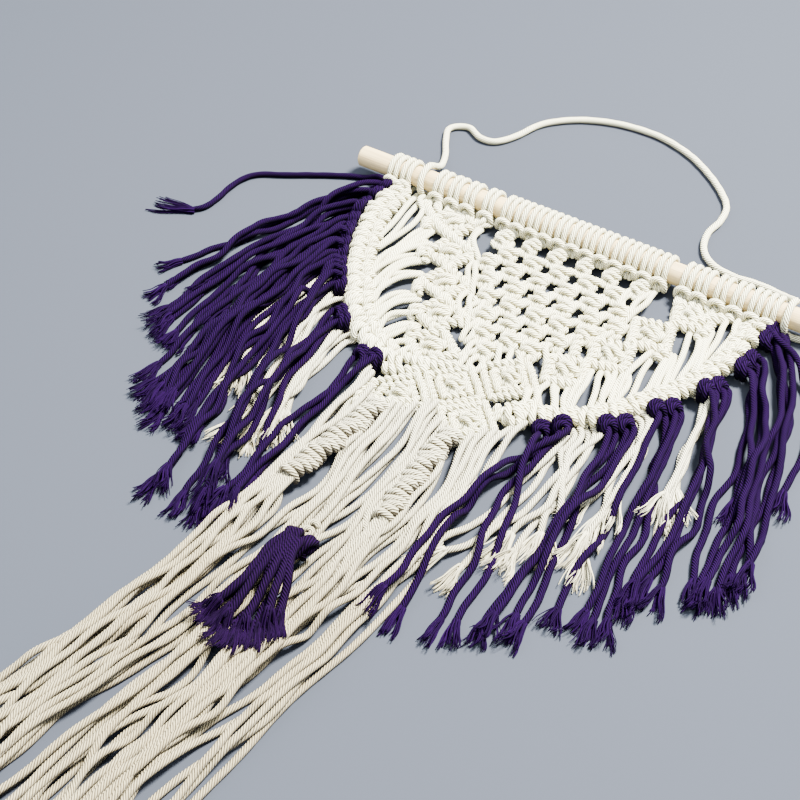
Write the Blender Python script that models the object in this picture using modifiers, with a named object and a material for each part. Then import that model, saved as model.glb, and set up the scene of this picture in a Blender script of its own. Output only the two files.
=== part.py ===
# Macrame wall hanging on a wooden dowel, lying flat on a surface with its fringes spread.
# Metres, +Z up. The tables below are in millimetres: x runs along the dowel, y runs up
# the hanging (the fringes point to -y), and z = 0 is the surface that it lies on.
import math

import bmesh
import bpy
from mathutils import Vector

MM = 0.001

# Driving dimensions
CORD = 4.0                  # diameter of every cotton cord, natural and purple
LINK_LIFT = 0.35            # crossing cords of the net lie this much higher or lower
GAP = 0.3                   # space between neighbouring pieces
DOWEL_DIAMETER = 12.0
DOWEL_ENDS = (-149.0, 135.0)
DOWEL_BEVEL = 0.6
WRAP_CLEAR = 0.5            # between the dowel and the cords round it
DOWEL_AXIS_Z = DOWEL_DIAMETER / 2 + WRAP_CLEAR + CORD
WRAP_SIDES = 8              # facets of a loop round the dowel
KNOT_HEIGHT = 7.0
KNOT_RIDGE_PITCH = 4.6
BAND_HALF_WIDTH = 4.2
WING_RIDGE_PITCH = 8.0
DIAMOND_RIDGE_PITCH = 8.8
DIAMOND_BORDER_INSET = 2.5  # from a diamond's reach to the middle line of its border
STRIP_HALF_WIDTH = 2.2
STRAND_HALF_WIDTH = 1.9
LINK_SINK = 1.5             # how far a link's end lies inside a knot
FRINGE_END_Y = -500.0
EDGE_STEPS = 400            # fine steps along an edge line
STRAND_POINTS = 6
STRAY_POINTS = 14
LANE_POINTS = 10

# Cross-sections (across, up), in millimetres, for a path that runs along their underside
PROFILES = {
    "strand": [(-STRAND_HALF_WIDTH, 0.0), (STRAND_HALF_WIDTH, 0.0), (1.3, 3.8), (-1.3, 3.8)],
    "link": [(-1.8, 1.2), (1.8, 1.2), (0.0, 4.9)],
    "knot": [(-5.2, 0.1), (5.2, 0.1), (5.6, 4.2), (0.0, KNOT_HEIGHT), (-5.6, 4.2)],
    "band": [(-BAND_HALF_WIDTH, 0.0), (BAND_HALF_WIDTH, 0.0), (2.8, 6.6), (-2.8, 6.6)],
    "strip": [(-STRIP_HALF_WIDTH, 0.4), (STRIP_HALF_WIDTH, 0.4), (2.0, 5.2), (-2.0, 5.2)],
}

# Lark's heads on the dowel, two wraps each: x where a group starts, how many heads, their pitch
HEAD_GROUPS = [
    dict(start=-126.5, heads=2, pitch=8.5),
    dict(start=-96.0, heads=3, pitch=10.2),
    dict(start=-63.5, heads=1, pitch=8.5),
    dict(start=-51.5, heads=12, pitch=8.6),
    dict(start=57.5, heads=2, pitch=8.5),
    dict(start=76.5, heads=2, pitch=9.5),
    dict(start=95.6, heads=2, pitch=8.3),
]

# Square knots of the centre panel, row by row down to the point of its V
PANEL_ROWS = [
    dict(y=-16.0, knots=6, pitch=17.2, length=19.0),
    dict(y=-37.0, knots=5, pitch=17.0, length=14.0),
    dict(y=-57.0, knots=4, pitch=16.5, length=14.0),
    dict(y=-77.0, knots=3, pitch=15.0, length=14.0),
    dict(y=-97.0, knots=2, pitch=14.0, length=13.0),
]

# Diamonds of clove hitches round a square knot: middle, half-diagonal and turn in degrees
DIAMONDS = [
    dict(x=-74, y=-20, reach=15.0, turn=30),
    dict(x=-61, y=-44, reach=15.0, turn=28),
    dict(x=-49, y=-68, reach=15.0, turn=26),
    dict(x=-38, y=-91, reach=15.0, turn=20),
    dict(x=-27, y=-115, reach=16.5, turn=8),
    dict(x=70, y=-21, reach=15.0, turn=-30),
    dict(x=61, y=-46, reach=15.0, turn=-28),
    dict(x=51, y=-71, reach=15.0, turn=-30),
    dict(x=38, y=-94, reach=15.0, turn=-24),
    dict(x=21, y=-117, reach=16.5, turn=-6),
    dict(x=-2, y=-135, reach=17.0, turn=0),
    dict(x=-21, y=-154, reach=15.5, turn=0),
    dict(x=17, y=-152, reach=15.5, turn=0),
]

# Ridged bands along the outer edges of the two wings
WING_BANDS = {
    "left": [(-117, -8), (-114, -35), (-109, -58), (-100, -80), (-87, -100), (-73, -117),
             (-57, -131), (-38, -145)],
    "right": [(107, -8), (106, -35), (101, -56), (93, -76), (82, -93), (68, -107),
              (52, -119), (34, -138)],
}

# Loose cords of the net, each an arc: start, end and how far it bows to its left
LOOSE_CORDS = [
    dict(start=(-112, -7), end=(-106, -62), bow=2, count=2, space=5.0),
    dict(start=(-84, -27), end=(-100, -79), bow=-9, count=2, space=5.0),
    dict(start=(-71, -51), end=(-88, -98), bow=-9, count=2, space=5.0),
    dict(start=(-59, -75), end=(-75, -113), bow=-7, count=2, space=5.0),
    dict(start=(-49, -97), end=(-63, -125), bow=-5, count=2, space=5.0),
    dict(start=(-40, -117), end=(-50, -135), bow=-3, count=2, space=5.0),
    dict(start=(-92, -7), end=(-83, -21), bow=0, count=2, space=5.0),
    dict(start=(101, -7), end=(97, -60), bow=2, count=2, space=5.0),
    dict(start=(79, -28), end=(93, -73), bow=8, count=2, space=5.0),
    dict(start=(70, -54), end=(84, -89), bow=7, count=2, space=5.0),
    dict(start=(60, -78), end=(73, -103), bow=5, count=2, space=5.0),
    dict(start=(48, -100), end=(57, -115), bow=3, count=2, space=5.0),
    dict(start=(33, -119), end=(40, -131), bow=0, count=2, space=5.0),
    dict(start=(83, -7), end=(78, -18), bow=0, count=2, space=5.0),
    dict(start=(-59, -7), end=(-64, -17), bow=0, count=1, space=0.0),
    dict(start=(61, -7), end=(64, -17), bow=0, count=1, space=0.0),
    dict(start=(-42, -24), end=(-27, -54), bow=5, count=1, space=0.0),
    dict(start=(42, -24), end=(27, -54), bow=-5, count=1, space=0.0),
    dict(start=(-28, -60), end=(-34, -84), bow=2, count=1, space=0.0),
    dict(start=(28, -60), end=(34, -86), bow=-2, count=1, space=0.0),
    dict(start=(-17, -80), end=(-26, -106), bow=2, count=1, space=0.0),
    dict(start=(17, -80), end=(22, -106), bow=-2, count=1, space=0.0),
    dict(start=(-8, -99), end=(-18, -111), bow=0, count=1, space=0.0),
    dict(start=(8, -99), end=(14, -113), bow=0, count=1, space=0.0),
    dict(start=(-5, -100), end=(-2, -122), bow=0, count=1, space=0.0),
]

# Side fringes. A strand's root is on the edge line outside a wing's band, its end on the
# line of tips, and it leaves towards the line of guides. Each row is one place along the
# edge, from the dowel down to the middle.
SIDE_FRINGES = {
    "left": [
        dict(guide=(-163, -62), tip=(-178, -145)),
        dict(guide=(-150, -88), tip=(-158, -182)),
        dict(guide=(-138, -112), tip=(-140, -204)),
        dict(guide=(-120, -142), tip=(-122, -226)),
        dict(guide=(-98, -162), tip=(-96, -240)),
        dict(guide=(-74, -180), tip=(-72, -262)),
        dict(guide=(-56, -192), tip=(-48, -264)),
    ],
    "right": [
        dict(guide=(137, -86), tip=(167, -176)),
        dict(guide=(134, -104), tip=(157, -190)),
        dict(guide=(124, -126), tip=(136, -214)),
        dict(guide=(110, -150), tip=(122, -234)),
        dict(guide=(94, -170), tip=(98, -252)),
        dict(guide=(74, -188), tip=(74, -266)),
        dict(guide=(55, -206), tip=(52, -276)),
    ],
}

# Bunches along each edge line: kind, start and end in millimetres from the dowel, number of
# strands, and how far they reach of the way to the tip line
BUNCHES = {
    "left": [
        dict(kind="purple", start=0, end=16, strands=2, reach=1.0),
        dict(kind="purple", start=20, end=38, strands=3, reach=0.97),
        dict(kind="purple", start=44, end=58, strands=2, reach=1.0),
        dict(kind="purple", start=61, end=73, strands=2, reach=0.95),
        dict(kind="purple", start=76, end=89, strands=2, reach=1.0),
        dict(kind="natural", start=92, end=97, strands=1, reach=0.7),
        dict(kind="purple", start=100, end=112, strands=2, reach=0.98),
        dict(kind="natural", start=115, end=120, strands=1, reach=0.66),
        dict(kind="purple", start=123, end=135, strands=2, reach=1.0),
        dict(kind="natural", start=138, end=143, strands=1, reach=0.7),
        dict(kind="purple", start=146, end=157, strands=2, reach=0.96),
    ],
    "right": [
        dict(kind="purple", start=2, end=20, strands=1, reach=0.98),
        dict(kind="purple", start=24, end=41, strands=2, reach=1.0),
        dict(kind="purple", start=50, end=62, strands=2, reach=0.95),
        dict(kind="natural", start=73, end=78, strands=1, reach=0.55),
        dict(kind="purple", start=81, end=94, strands=2, reach=1.0),
        dict(kind="natural", start=97, end=104, strands=1, reach=0.6),
        dict(kind="purple", start=107, end=122, strands=3, reach=1.0),
        dict(kind="natural", start=125, end=130, strands=1, reach=0.72),
        dict(kind="purple", start=133, end=145, strands=2, reach=1.0),
    ],
}

# One long end of the first bunch on each side lies apart on the surface
STRAY_ENDS = {
    "left": [(-124, -13), (-131, -10), (-146, -8), (-158, -15), (-170, -24), (-184, -31), (-195, -38),
             (-201, -52), (-200, -68), (-203, -82), (-214, -90), (-230, -94)],
    "right": [(115, -13), (126, -15), (140, -24), (152, -42), (159, -64), (160, -88), (160, -108),
              (162, -130)],
}

# Long fringe: where its lanes run at each height, and the two spiral sennits among them
FRINGE_STATIONS = [
    dict(y=-158, left=-43, left_spiral=-22, right_spiral=17, right=37),
    dict(y=-184, left=-45, left_spiral=-24, right_spiral=17, right=42),
    dict(y=-234, left=-46, left_spiral=-31, right_spiral=21, right=46),
    dict(y=-282, left=-48, left_spiral=-33, right_spiral=20, right=47),
    dict(y=-336, left=-52, left_spiral=-38, right_spiral=14, right=41),
    dict(y=-383, left=-62, left_spiral=-46, right_spiral=8, right=37),
    dict(y=-440, left=-70, left_spiral=-52, right_spiral=6, right=37),
    dict(y=FRINGE_END_Y, left=-76, left_spiral=-56, right_spiral=6, right=39),
]
FRINGE_ROOT_Y = -165.0      # the lanes are shared out at this height
# Strands in the long fringe, group by group: guides on both sides, and how far across they start and end
FRINGE_GROUPS = [
    dict(left="left", right="left_spiral", strands=2, first=0.0, last=0.38),
    dict(left="left_spiral", right="right_spiral", strands=7, first=0.17, last=0.82),
    dict(left="right_spiral", right="right", strands=4, first=0.37, last=1.0),
]
FRINGE_RIDGE_PITCH = 5.6    # ridges of the long fringe's strip
STRIP_OVERHANG = 1.5        # the long fringe's strip runs on this far past the diamonds' outer corners
SPIRAL_END_Y = -232.0
SPIRAL_PITCH = 6.5
SPIRAL_STRANDS = 3
FRINGE_RAGGED = 7.0         # how much the ends of the long strands differ

# Tassel tied on top of the long fringe
TASSEL_HEAD = [(-13, -249), (-5, -250), (3, -253)]
TASSEL_TIPS = [(-25, -316), (-3, -321), (21, -305)]
TASSEL_STRANDS = 8
TASSEL_BASE_Z = 3.8 + GAP

# Hanging cord: a turn round the dowel at each end and the loose loop between them
HANGER_LEFT_X = -103.4
HANGER_RIGHT_X = 116.6
HANGER_LOOP = [(-109, 22, 6.0), (-116, 38, 2.2), (-125, 53, 2.2), (-129, 64, 2.2), (-120, 71, 2.2),
               (-108, 65, 2.2), (-98, 67, 2.2), (-91, 79, 2.2), (-85, 98, 2.2), (-73, 112, 2.2),
               (-58, 121, 2.2), (-40, 126, 2.2), (-18, 126, 2.2), (3, 119, 2.2), (19, 109, 2.2),
               (34, 96, 2.2), (45, 82, 2.2), (48, 67, 2.2), (47, 53, 2.2), (51, 39, 2.2),
               (60, 29, 2.2), (74, 25, 2.2), (90, 26, 2.2), (105, 22, 4.0)]
HANGER_TAIL_LEFT = [(-102.6, -2.0, 2.2), (-101.6, 9.0, 2.2)]
HANGER_TAIL_RIGHT = [(120.0, -5.0, 2.2), (130.0, -3.0, 2.2), (141.0, -1.0, 2.2)]
HANGER_SPACING = 8.6
HANGER_TURN_SPACING = 3.4
HANGER_TURN_REACH = 12.0    # nearer the dowel's axis than this the points are close together

# Colours: base colour and roughness
MATERIALS = {
    "birch_wood": ((0.76, 0.64, 0.50), 0.55),
    "natural_cotton": ((0.84, 0.79, 0.68), 0.9),
    "purple_cotton": ((0.09, 0.02, 0.27), 0.85),
}


def clear_scene():
    for obj in list(bpy.data.objects):
        bpy.data.objects.remove(obj, do_unlink=True)


def make_collection(name):
    collection = bpy.data.collections.new(name)
    bpy.context.scene.collection.children.link(collection)
    return collection


def make_material(name):
    colour, roughness = MATERIALS[name]
    material = bpy.data.materials.new(name)
    material.use_nodes = True
    shader = material.node_tree.nodes["Principled BSDF"]
    shader.inputs["Base Color"].default_value = (*colour, 1.0)
    shader.inputs["Roughness"].default_value = roughness
    shader.inputs["Metallic"].default_value = 0.0
    return material


def smooth_route(route, count):
    """Evenly spaced points on a smooth curve through the route's own points."""
    knots = [Vector(point).to_3d() if len(point) == 2 else Vector(point) for point in route]
    knots = [knots[0] * 2 - knots[1]] + knots + [knots[-1] * 2 - knots[-2]]
    fine = []
    steps = 24
    for before, start, end, after in zip(knots, knots[1:], knots[2:], knots[3:]):
        for step in range(steps):
            t = step / steps
            fine.append(0.5 * (2 * start + (end - before) * t
                               + (2 * before - 5 * start + 4 * end - after) * t ** 2
                               + (3 * start - before - 3 * end + after) * t ** 3))
    fine.append(knots[-2])
    return even_points(fine, count)


def even_points(points, count):
    lengths = [0.0]
    for a, b in zip(points, points[1:]):
        lengths.append(lengths[-1] + (b - a).length)
    spaced = []
    index = 0
    for step in range(count):
        want = lengths[-1] * step / (count - 1)
        while index < len(points) - 2 and lengths[index + 1] < want:
            index += 1
        span = lengths[index + 1] - lengths[index]
        share = (want - lengths[index]) / span if span > 0 else 0.0
        spaced.append(points[index].lerp(points[index + 1], share))
    return spaced


def route_length(points):
    return sum((b - a).length for a, b in zip(points, points[1:]))


def offset_route(points, distance):
    """The same flat route, moved sideways to the left of its direction."""
    moved = []
    for index, point in enumerate(points):
        ahead = points[min(index + 1, len(points) - 1)] - points[max(index - 1, 0)]
        moved.append(point + Vector((-ahead.y, ahead.x, 0.0)).normalized() * distance)
    return moved


def link_object(obj, collection):
    collection.objects.link(obj)
    return obj


class Workshop:
    """Makes the pieces and keeps what they share."""

    def __init__(self):
        self.parts = make_collection("macrame_wall_hanging")
        self.guides = make_collection("guides")
        self.materials = {name: make_material(name) for name in MATERIALS}
        self.profiles = {name: self.make_profile(name, outline) for name, outline in PROFILES.items()}

    def make_profile(self, name, outline):
        curve = bpy.data.curves.new("profile_" + name, "CURVE")
        curve.dimensions = "2D"
        spline = curve.splines.new("POLY")
        spline.points.add(len(outline) - 1)
        for point, (across, up) in zip(spline.points, outline):
            point.co = (across * MM, up * MM, 0.0, 1.0)
        spline.use_cyclic_u = True
        obj = link_object(bpy.data.objects.new("profile_" + name, curve), self.guides)
        obj.hide_render = True
        obj.display_type = "WIRE"
        return obj

    def sweep(self, points, profile, sizes=None, closed=False):
        """A closed mesh: the named cross-section swept along points in millimetres."""
        curve = bpy.data.curves.new("sweep", "CURVE")
        curve.dimensions = "3D"
        curve.twist_mode = "Z_UP"
        curve.bevel_mode = "OBJECT"
        curve.bevel_object = self.profiles[profile]
        curve.use_fill_caps = True
        spline = curve.splines.new("POLY")
        spline.points.add(len(points) - 1)
        for index, (target, point) in enumerate(zip(spline.points, points)):
            target.co = (point.x * MM, point.y * MM, point.z * MM, 1.0)
            target.radius = sizes[index] if sizes else 1.0
        spline.use_cyclic_u = closed
        return self.to_mesh(link_object(bpy.data.objects.new("sweep", curve), self.guides))

    def to_mesh(self, source):
        """The evaluated object as a welded mesh object with its faces outward."""
        graph = bpy.context.evaluated_depsgraph_get()
        mesh = bpy.data.meshes.new_from_object(source.evaluated_get(graph))
        matrix = source.matrix_world.copy()
        bpy.data.objects.remove(source, do_unlink=True)
        bm = bmesh.new()
        bm.from_mesh(mesh)
        bmesh.ops.remove_doubles(bm, verts=bm.verts, dist=0.00001)
        bmesh.ops.recalc_face_normals(bm, faces=bm.faces)
        bm.to_mesh(mesh)
        bm.free()
        mesh.materials.clear()
        obj = bpy.data.objects.new("piece", mesh)
        obj.matrix_world = matrix
        return link_object(obj, self.guides)

    def fuse(self, name, pieces, material):
        """One named part: all the pieces joined by a single Boolean union."""
        first, others = pieces[0], pieces[1:]
        if others:
            operands = bpy.data.collections.new("operands")
            for piece in others:
                operands.objects.link(piece)
            union = first.modifiers.new("union", "BOOLEAN")
            union.operation = "UNION"
            union.operand_type = "COLLECTION"
            union.solver = "EXACT"
            union.collection = operands
            bpy.context.view_layer.update()
            first = self.to_mesh(first)
            for piece in others:
                bpy.data.objects.remove(piece, do_unlink=True)
            bpy.data.collections.remove(operands)
        return self.finish(name, first, material)

    def finish(self, name, obj, material):
        self.guides.objects.unlink(obj)
        self.parts.objects.link(obj)
        obj.name = name
        obj.data.name = name
        obj.data.materials.append(self.materials[material])
        return obj

    def ridged_bar(self, points, profile, pitch, dip=0.86, closed=False):
        """A bar along a flat route whose size rises and dips at each ridge."""
        ridges = max(2, round(route_length(points) / pitch))
        count = 2 * ridges if closed else 2 * ridges + 1
        if closed:
            loop = even_points(points + [points[0]], count + 1)[:-1]
        else:
            loop = even_points(points, count)
        sizes = [1.0 if index % 2 else dip for index in range(count)]
        return self.sweep(loop, profile, sizes, closed)


def make_dowel(shop):
    length = DOWEL_ENDS[1] - DOWEL_ENDS[0]
    bpy.ops.mesh.primitive_cylinder_add(
        vertices=32, radius=DOWEL_DIAMETER / 2 * MM, depth=length * MM,
        location=((DOWEL_ENDS[0] + DOWEL_ENDS[1]) / 2 * MM, 0.0, DOWEL_AXIS_Z * MM),
        rotation=(0.0, math.pi / 2, 0.0))
    dowel = bpy.context.active_object
    for collection in list(dowel.users_collection):
        collection.objects.unlink(dowel)
    shop.guides.objects.link(dowel)
    bevel = dowel.modifiers.new("worn_ends", "BEVEL")
    bevel.width = DOWEL_BEVEL * MM
    bevel.segments = 1
    bevel.limit_method = "ANGLE"
    bevel.angle_limit = math.radians(60.0)
    dowel.data.shade_smooth()
    dowel.data.set_sharp_from_angle(angle=math.radians(40.0))
    return shop.finish("dowel", dowel, "birch_wood")


def make_head_group(shop, group):
    """A turned sleeve with one ridge for each lark's head round the dowel."""
    inner = DOWEL_DIAMETER / 2 + WRAP_CLEAR
    # a facet's middle is nearer the axis than its corners, so the bore is widened to clear the dowel
    inner = inner / math.cos(math.pi / WRAP_SIDES)
    outer = DOWEL_DIAMETER / 2 + WRAP_CLEAR + CORD
    outline = []
    for head in range(group["heads"]):
        left = group["start"] + head * group["pitch"]
        outline += [(left, outer - 1.4), (left + CORD, outer)]
    right = outline[-1][0] + CORD
    outline += [(right, outer - 1.4), (right, inner), (outline[0][0], inner)]
    mesh = bpy.data.meshes.new("loops")
    bm = bmesh.new()
    corners = [bm.verts.new((x * MM, 0.0, radius * MM)) for x, radius in outline]
    for a, b in zip(corners, corners[1:] + corners[:1]):
        bm.edges.new((a, b))
    bm.to_mesh(mesh)
    bm.free()
    sleeve = link_object(bpy.data.objects.new("loops", mesh), shop.guides)
    sleeve.location = (0.0, 0.0, DOWEL_AXIS_Z * MM)
    turn = sleeve.modifiers.new("turn", "SCREW")
    turn.axis = "X"
    turn.angle = math.tau
    turn.steps = WRAP_SIDES
    turn.render_steps = WRAP_SIDES
    turn.use_merge_vertices = True
    turn.merge_threshold = 0.00001
    bpy.context.view_layer.update()
    return shop.to_mesh(sleeve)


def panel_places():
    rows = []
    for row in PANEL_ROWS:
        first = -row["pitch"] * (row["knots"] - 1) / 2
        rows.append([(first + row["pitch"] * index, row["y"]) for index in range(row["knots"])])
    return rows


def make_panel(shop):
    pieces = []
    rows = panel_places()
    for row, places in zip(PANEL_ROWS, rows):
        half = row["length"] / 2
        for x, y in places:
            ends = [Vector((x, y + half, 0)), Vector((x, y - half, 0))]
            pieces.append(shop.ridged_bar(ends, "knot", KNOT_RIDGE_PITCH))
    for row, places, below, lower in zip(PANEL_ROWS, rows, PANEL_ROWS[1:], rows[1:]):
        for x, y in places:
            for next_x, next_y in lower:
                lean = next_x - x
                if abs(lean) > row["pitch"] * 0.75:
                    continue
                lift = LINK_LIFT if lean > 0 else 0.0
                start = Vector((x + lean * 0.25, y - row["length"] / 2 + LINK_SINK, lift))
                end = Vector((next_x - lean * 0.25, next_y + below["length"] / 2 - LINK_SINK, lift))
                pieces.append(shop.sweep([start, end], "link"))
    return pieces


def make_diamond(shop, diamond):
    middle = Vector((diamond["x"], diamond["y"], 0))
    turn = math.radians(diamond["turn"])
    corners = []
    for quarter in range(4):
        angle = turn + quarter * math.pi / 2
        outward = Vector((math.cos(angle), math.sin(angle), 0))
        corners.append(middle + outward * (diamond["reach"] - DIAMOND_BORDER_INSET))
    border = shop.ridged_bar(corners, "band", DIAMOND_RIDGE_PITCH, 0.84, closed=True)
    down = Vector((math.sin(turn), -math.cos(turn), 0)) * (diamond["reach"] - 2 * DIAMOND_BORDER_INSET)
    knot = shop.sweep([middle - down, middle, middle + down], "knot", [0.75, 1.0, 0.75])
    return [border, knot]


def arc(start, end, bow, count):
    start = Vector(start).to_3d()
    end = Vector(end).to_3d()
    along = end - start
    left = Vector((-along.y, along.x, 0)).normalized()
    points = []
    for step in range(count):
        t = step / (count - 1)
        points.append(start.lerp(end, t) + left * bow * 4 * t * (1 - t))
    return points


def make_net(shop):
    pieces = [make_head_group(shop, group) for group in HEAD_GROUPS]
    pieces += make_panel(shop)
    for diamond in DIAMONDS:
        pieces += make_diamond(shop, diamond)
    for route in WING_BANDS.values():
        pieces.append(shop.ridged_bar(smooth_route(route, 60), "band", WING_RIDGE_PITCH, 0.8))
    for number, row in enumerate(LOOSE_CORDS):
        middle = arc(row["start"], row["end"], row["bow"], 4)
        for index in range(row["count"]):
            shift = (index - (row["count"] - 1) / 2) * row["space"]
            lift = Vector((0, 0, LINK_LIFT * (0.5 + number % 5 / 3 + index / 4)))
            pieces.append(shop.sweep([point + lift for point in offset_route(middle, shift)], "link"))
    return shop.fuse("macrame_net", pieces, "natural_cotton")


def bezier(start, guide, end, share, count):
    points = []
    for step in range(count):
        t = share * step / (count - 1)
        points.append(start * (1 - t) ** 2 + guide * 2 * t * (1 - t) + end * t ** 2)
    return points


def side_edge(side):
    """The line outside a wing's band that the roots of its fringe lie on."""
    band = smooth_route(WING_BANDS[side], EDGE_STEPS)
    away = BAND_HALF_WIDTH + GAP + STRIP_HALF_WIDTH
    return offset_route(band, -away if side == "left" else away)


def make_side_fringe(shop, side):
    edge = side_edge(side)
    tips = smooth_route([row["tip"] for row in SIDE_FRINGES[side]], EDGE_STEPS)
    guides = smooth_route([row["guide"] for row in SIDE_FRINGES[side]], EDGE_STEPS)
    per_mm = (EDGE_STEPS - 1) / route_length(edge)
    margin = STRAND_HALF_WIDTH + GAP
    numbers = {"purple": 0, "natural": 0}
    for bunch in BUNCHES[side]:
        numbers[bunch["kind"]] += 1
        first = round(bunch["start"] * per_mm)
        last = min(round(bunch["end"] * per_mm), EDGE_STEPS - 1)
        pieces = [shop.ridged_bar(edge[first:last + 1], "strip", CORD, 0.88)]
        room = bunch["end"] - bunch["start"] - 2 * margin
        for strand in range(bunch["strands"]):
            share = strand / (bunch["strands"] - 1) if bunch["strands"] > 1 else 0.5
            index = round((bunch["start"] + margin + room * share) * per_mm)
            reach = bunch["reach"] - 0.03 * (strand % 2)
            path = bezier(edge[index], guides[index], tips[index], reach, STRAND_POINTS)
            pieces.append(shop.sweep(path, "strand"))
        if numbers[bunch["kind"]] == 1 and bunch["kind"] == "purple":
            pieces.append(shop.sweep(smooth_route(STRAY_ENDS[side], STRAY_POINTS), "strand"))
        name = f"{bunch['kind']}_fringe_{side}_{numbers[bunch['kind']]}"
        shop.fuse(name, pieces, bunch["kind"] + "_cotton")


def fringe_x(guide, y):
    """Where a guide of the long fringe runs at a height, between its stations."""
    stations = FRINGE_STATIONS
    for above, below in zip(stations, stations[1:]):
        if y >= below["y"]:
            share = (above["y"] - y) / (above["y"] - below["y"])
            return above[guide] + (below[guide] - above[guide]) * share
    return stations[-1][guide]


def fringe_strip():
    """The line just below the two lowest diamonds that the long fringe's roots lie on."""
    left, right = DIAMONDS[-2:]
    away = (BAND_HALF_WIDTH + GAP + STRIP_HALF_WIDTH) * math.sqrt(2)
    left_reach = left["reach"] - DIAMOND_BORDER_INSET + away
    right_reach = right["reach"] - DIAMOND_BORDER_INSET + away
    left_bottom = left["y"] - left_reach
    right_bottom = right["y"] - right_reach
    # the sides between the two bottom corners run at 45 degrees and meet in a valley
    rise = (right["x"] - left["x"] + right_bottom - left_bottom) / 2
    return [
        (left["x"] - left_reach - STRIP_OVERHANG, left["y"] + STRIP_OVERHANG),
        (left["x"], left_bottom),
        (left["x"] + rise, left_bottom + rise),
        (right["x"], right_bottom),
        (right["x"] + right_reach + STRIP_OVERHANG, right["y"] + STRIP_OVERHANG),
    ]


def height_on(route, x):
    for (x0, y0), (x1, y1) in zip(route, route[1:]):
        if x <= x1:
            return y0 + (y1 - y0) * (x - x0) / (x1 - x0)
    return route[-1][1]


def lane_path(left, right, share, top, bottom, count):
    points = []
    for step in range(count):
        y = top + (bottom - top) * step / (count - 1)
        x = fringe_x(left, y) * (1 - share) + fringe_x(right, y) * share
        points.append(Vector((x, y, 0)))
    return points


def make_long_fringe(shop):
    strip = fringe_strip()
    pieces = [shop.ridged_bar([Vector((x, y, 0)) for x, y in strip], "strip", FRINGE_RIDGE_PITCH, 0.92)]
    number = 0
    for group in FRINGE_GROUPS:
        left, right = group["left"], group["right"]
        for index in range(group["strands"]):
            share = group["first"] + (group["last"] - group["first"]) * index / (group["strands"] - 1)
            x = fringe_x(left, FRINGE_ROOT_Y) * (1 - share) + fringe_x(right, FRINGE_ROOT_Y) * share
            end = FRINGE_END_Y + FRINGE_RAGGED * (number % 4) / 2
            lane = lane_path(left, right, share, height_on(strip, x), end, LANE_POINTS)
            pieces.append(shop.sweep(lane, "strand"))
            number += 1
    shop.fuse("long_fringe", pieces, "natural_cotton")


def make_spirals(shop):
    """Spiral sennits below the lowest diamonds, each ending in loose strands."""
    strip = fringe_strip()
    for side, corner in (("left", strip[1]), ("right", strip[3])):
        guide = side + "_spiral"
        top = corner[1] - STRIP_HALF_WIDTH - GAP
        body = lane_path(guide, guide, 0.0, top, SPIRAL_END_Y, 12)
        pieces = [shop.ridged_bar(body, "band", SPIRAL_PITCH, 0.8)]
        for index in range(SPIRAL_STRANDS):
            shift = (index - (SPIRAL_STRANDS - 1) / 2) * (CORD + GAP)
            path = lane_path(guide, guide, 0.0, SPIRAL_END_Y + 3.0, FRINGE_END_Y + 2.0 * index, 8)
            pieces.append(shop.sweep(offset_route(path, shift), "strand"))
        shop.fuse("spiral_sennit_" + side, pieces, "natural_cotton")


def make_tassel(shop):
    lift = Vector((0, 0, TASSEL_BASE_Z))
    head = [point + lift for point in smooth_route(TASSEL_HEAD, 12)]
    tips = [point + lift for point in smooth_route(TASSEL_TIPS, TASSEL_STRANDS)]
    roots = even_points(head, TASSEL_STRANDS)
    pieces = [shop.ridged_bar(head, "band", CORD, 0.88)]
    for index, (root, tip) in enumerate(zip(roots, tips)):
        end = root.lerp(tip, 0.94 + 0.03 * (index % 3))
        pieces.append(shop.sweep(even_points([root, end], 4), "strand"))
    shop.fuse("tassel", pieces, "purple_cotton")


def dowel_turn(x, start, sweep, drift):
    """Points of one turn round the dowel, by angle from its top towards +y."""
    radius = DOWEL_DIAMETER / 2 + WRAP_CLEAR + CORD / 2
    points = []
    steps = 12
    for step in range(steps + 1):
        angle = math.radians(start + sweep * step / steps)
        points.append(Vector((x + drift * step / steps, radius * math.sin(angle),
                              DOWEL_AXIS_Z + radius * math.cos(angle))))
    return points


def hanger_points():
    left = [Vector(point) for point in reversed(HANGER_TAIL_LEFT)] + dowel_turn(HANGER_LEFT_X, -150, 190, -1.0)
    loop = [Vector(point) for point in HANGER_LOOP]
    right = dowel_turn(HANGER_RIGHT_X - 1.0, 40, -190, 1.0) + [Vector(point) for point in HANGER_TAIL_RIGHT]
    fine = smooth_route(left + loop + right, 1500)
    for point in fine:
        point.z = max(point.z, CORD / 2 + 0.1)
    chosen = [fine[0]]
    for point in fine[1:]:
        from_axis = math.hypot(point.y, point.z - DOWEL_AXIS_Z)
        spacing = HANGER_TURN_SPACING if from_axis < HANGER_TURN_REACH else HANGER_SPACING
        if (point - chosen[-1]).length >= spacing:
            chosen.append(point)
    return chosen


def make_hanging_cord(shop):
    points = hanger_points()
    curve = bpy.data.curves.new("hanging_cord", "CURVE")
    curve.dimensions = "3D"
    curve.bevel_depth = CORD / 2 * MM
    curve.bevel_resolution = 2
    curve.use_fill_caps = True
    spline = curve.splines.new("POLY")
    spline.points.add(len(points) - 1)
    for target, point in zip(spline.points, points):
        target.co = (point.x * MM, point.y * MM, point.z * MM, 1.0)
    cord = link_object(bpy.data.objects.new("hanging_cord", curve), shop.guides)
    print("hanging cord", len(points), "points,", round(route_length(points)), "mm")
    return shop.finish("hanging_cord", shop.to_mesh(cord), "natural_cotton")


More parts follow.
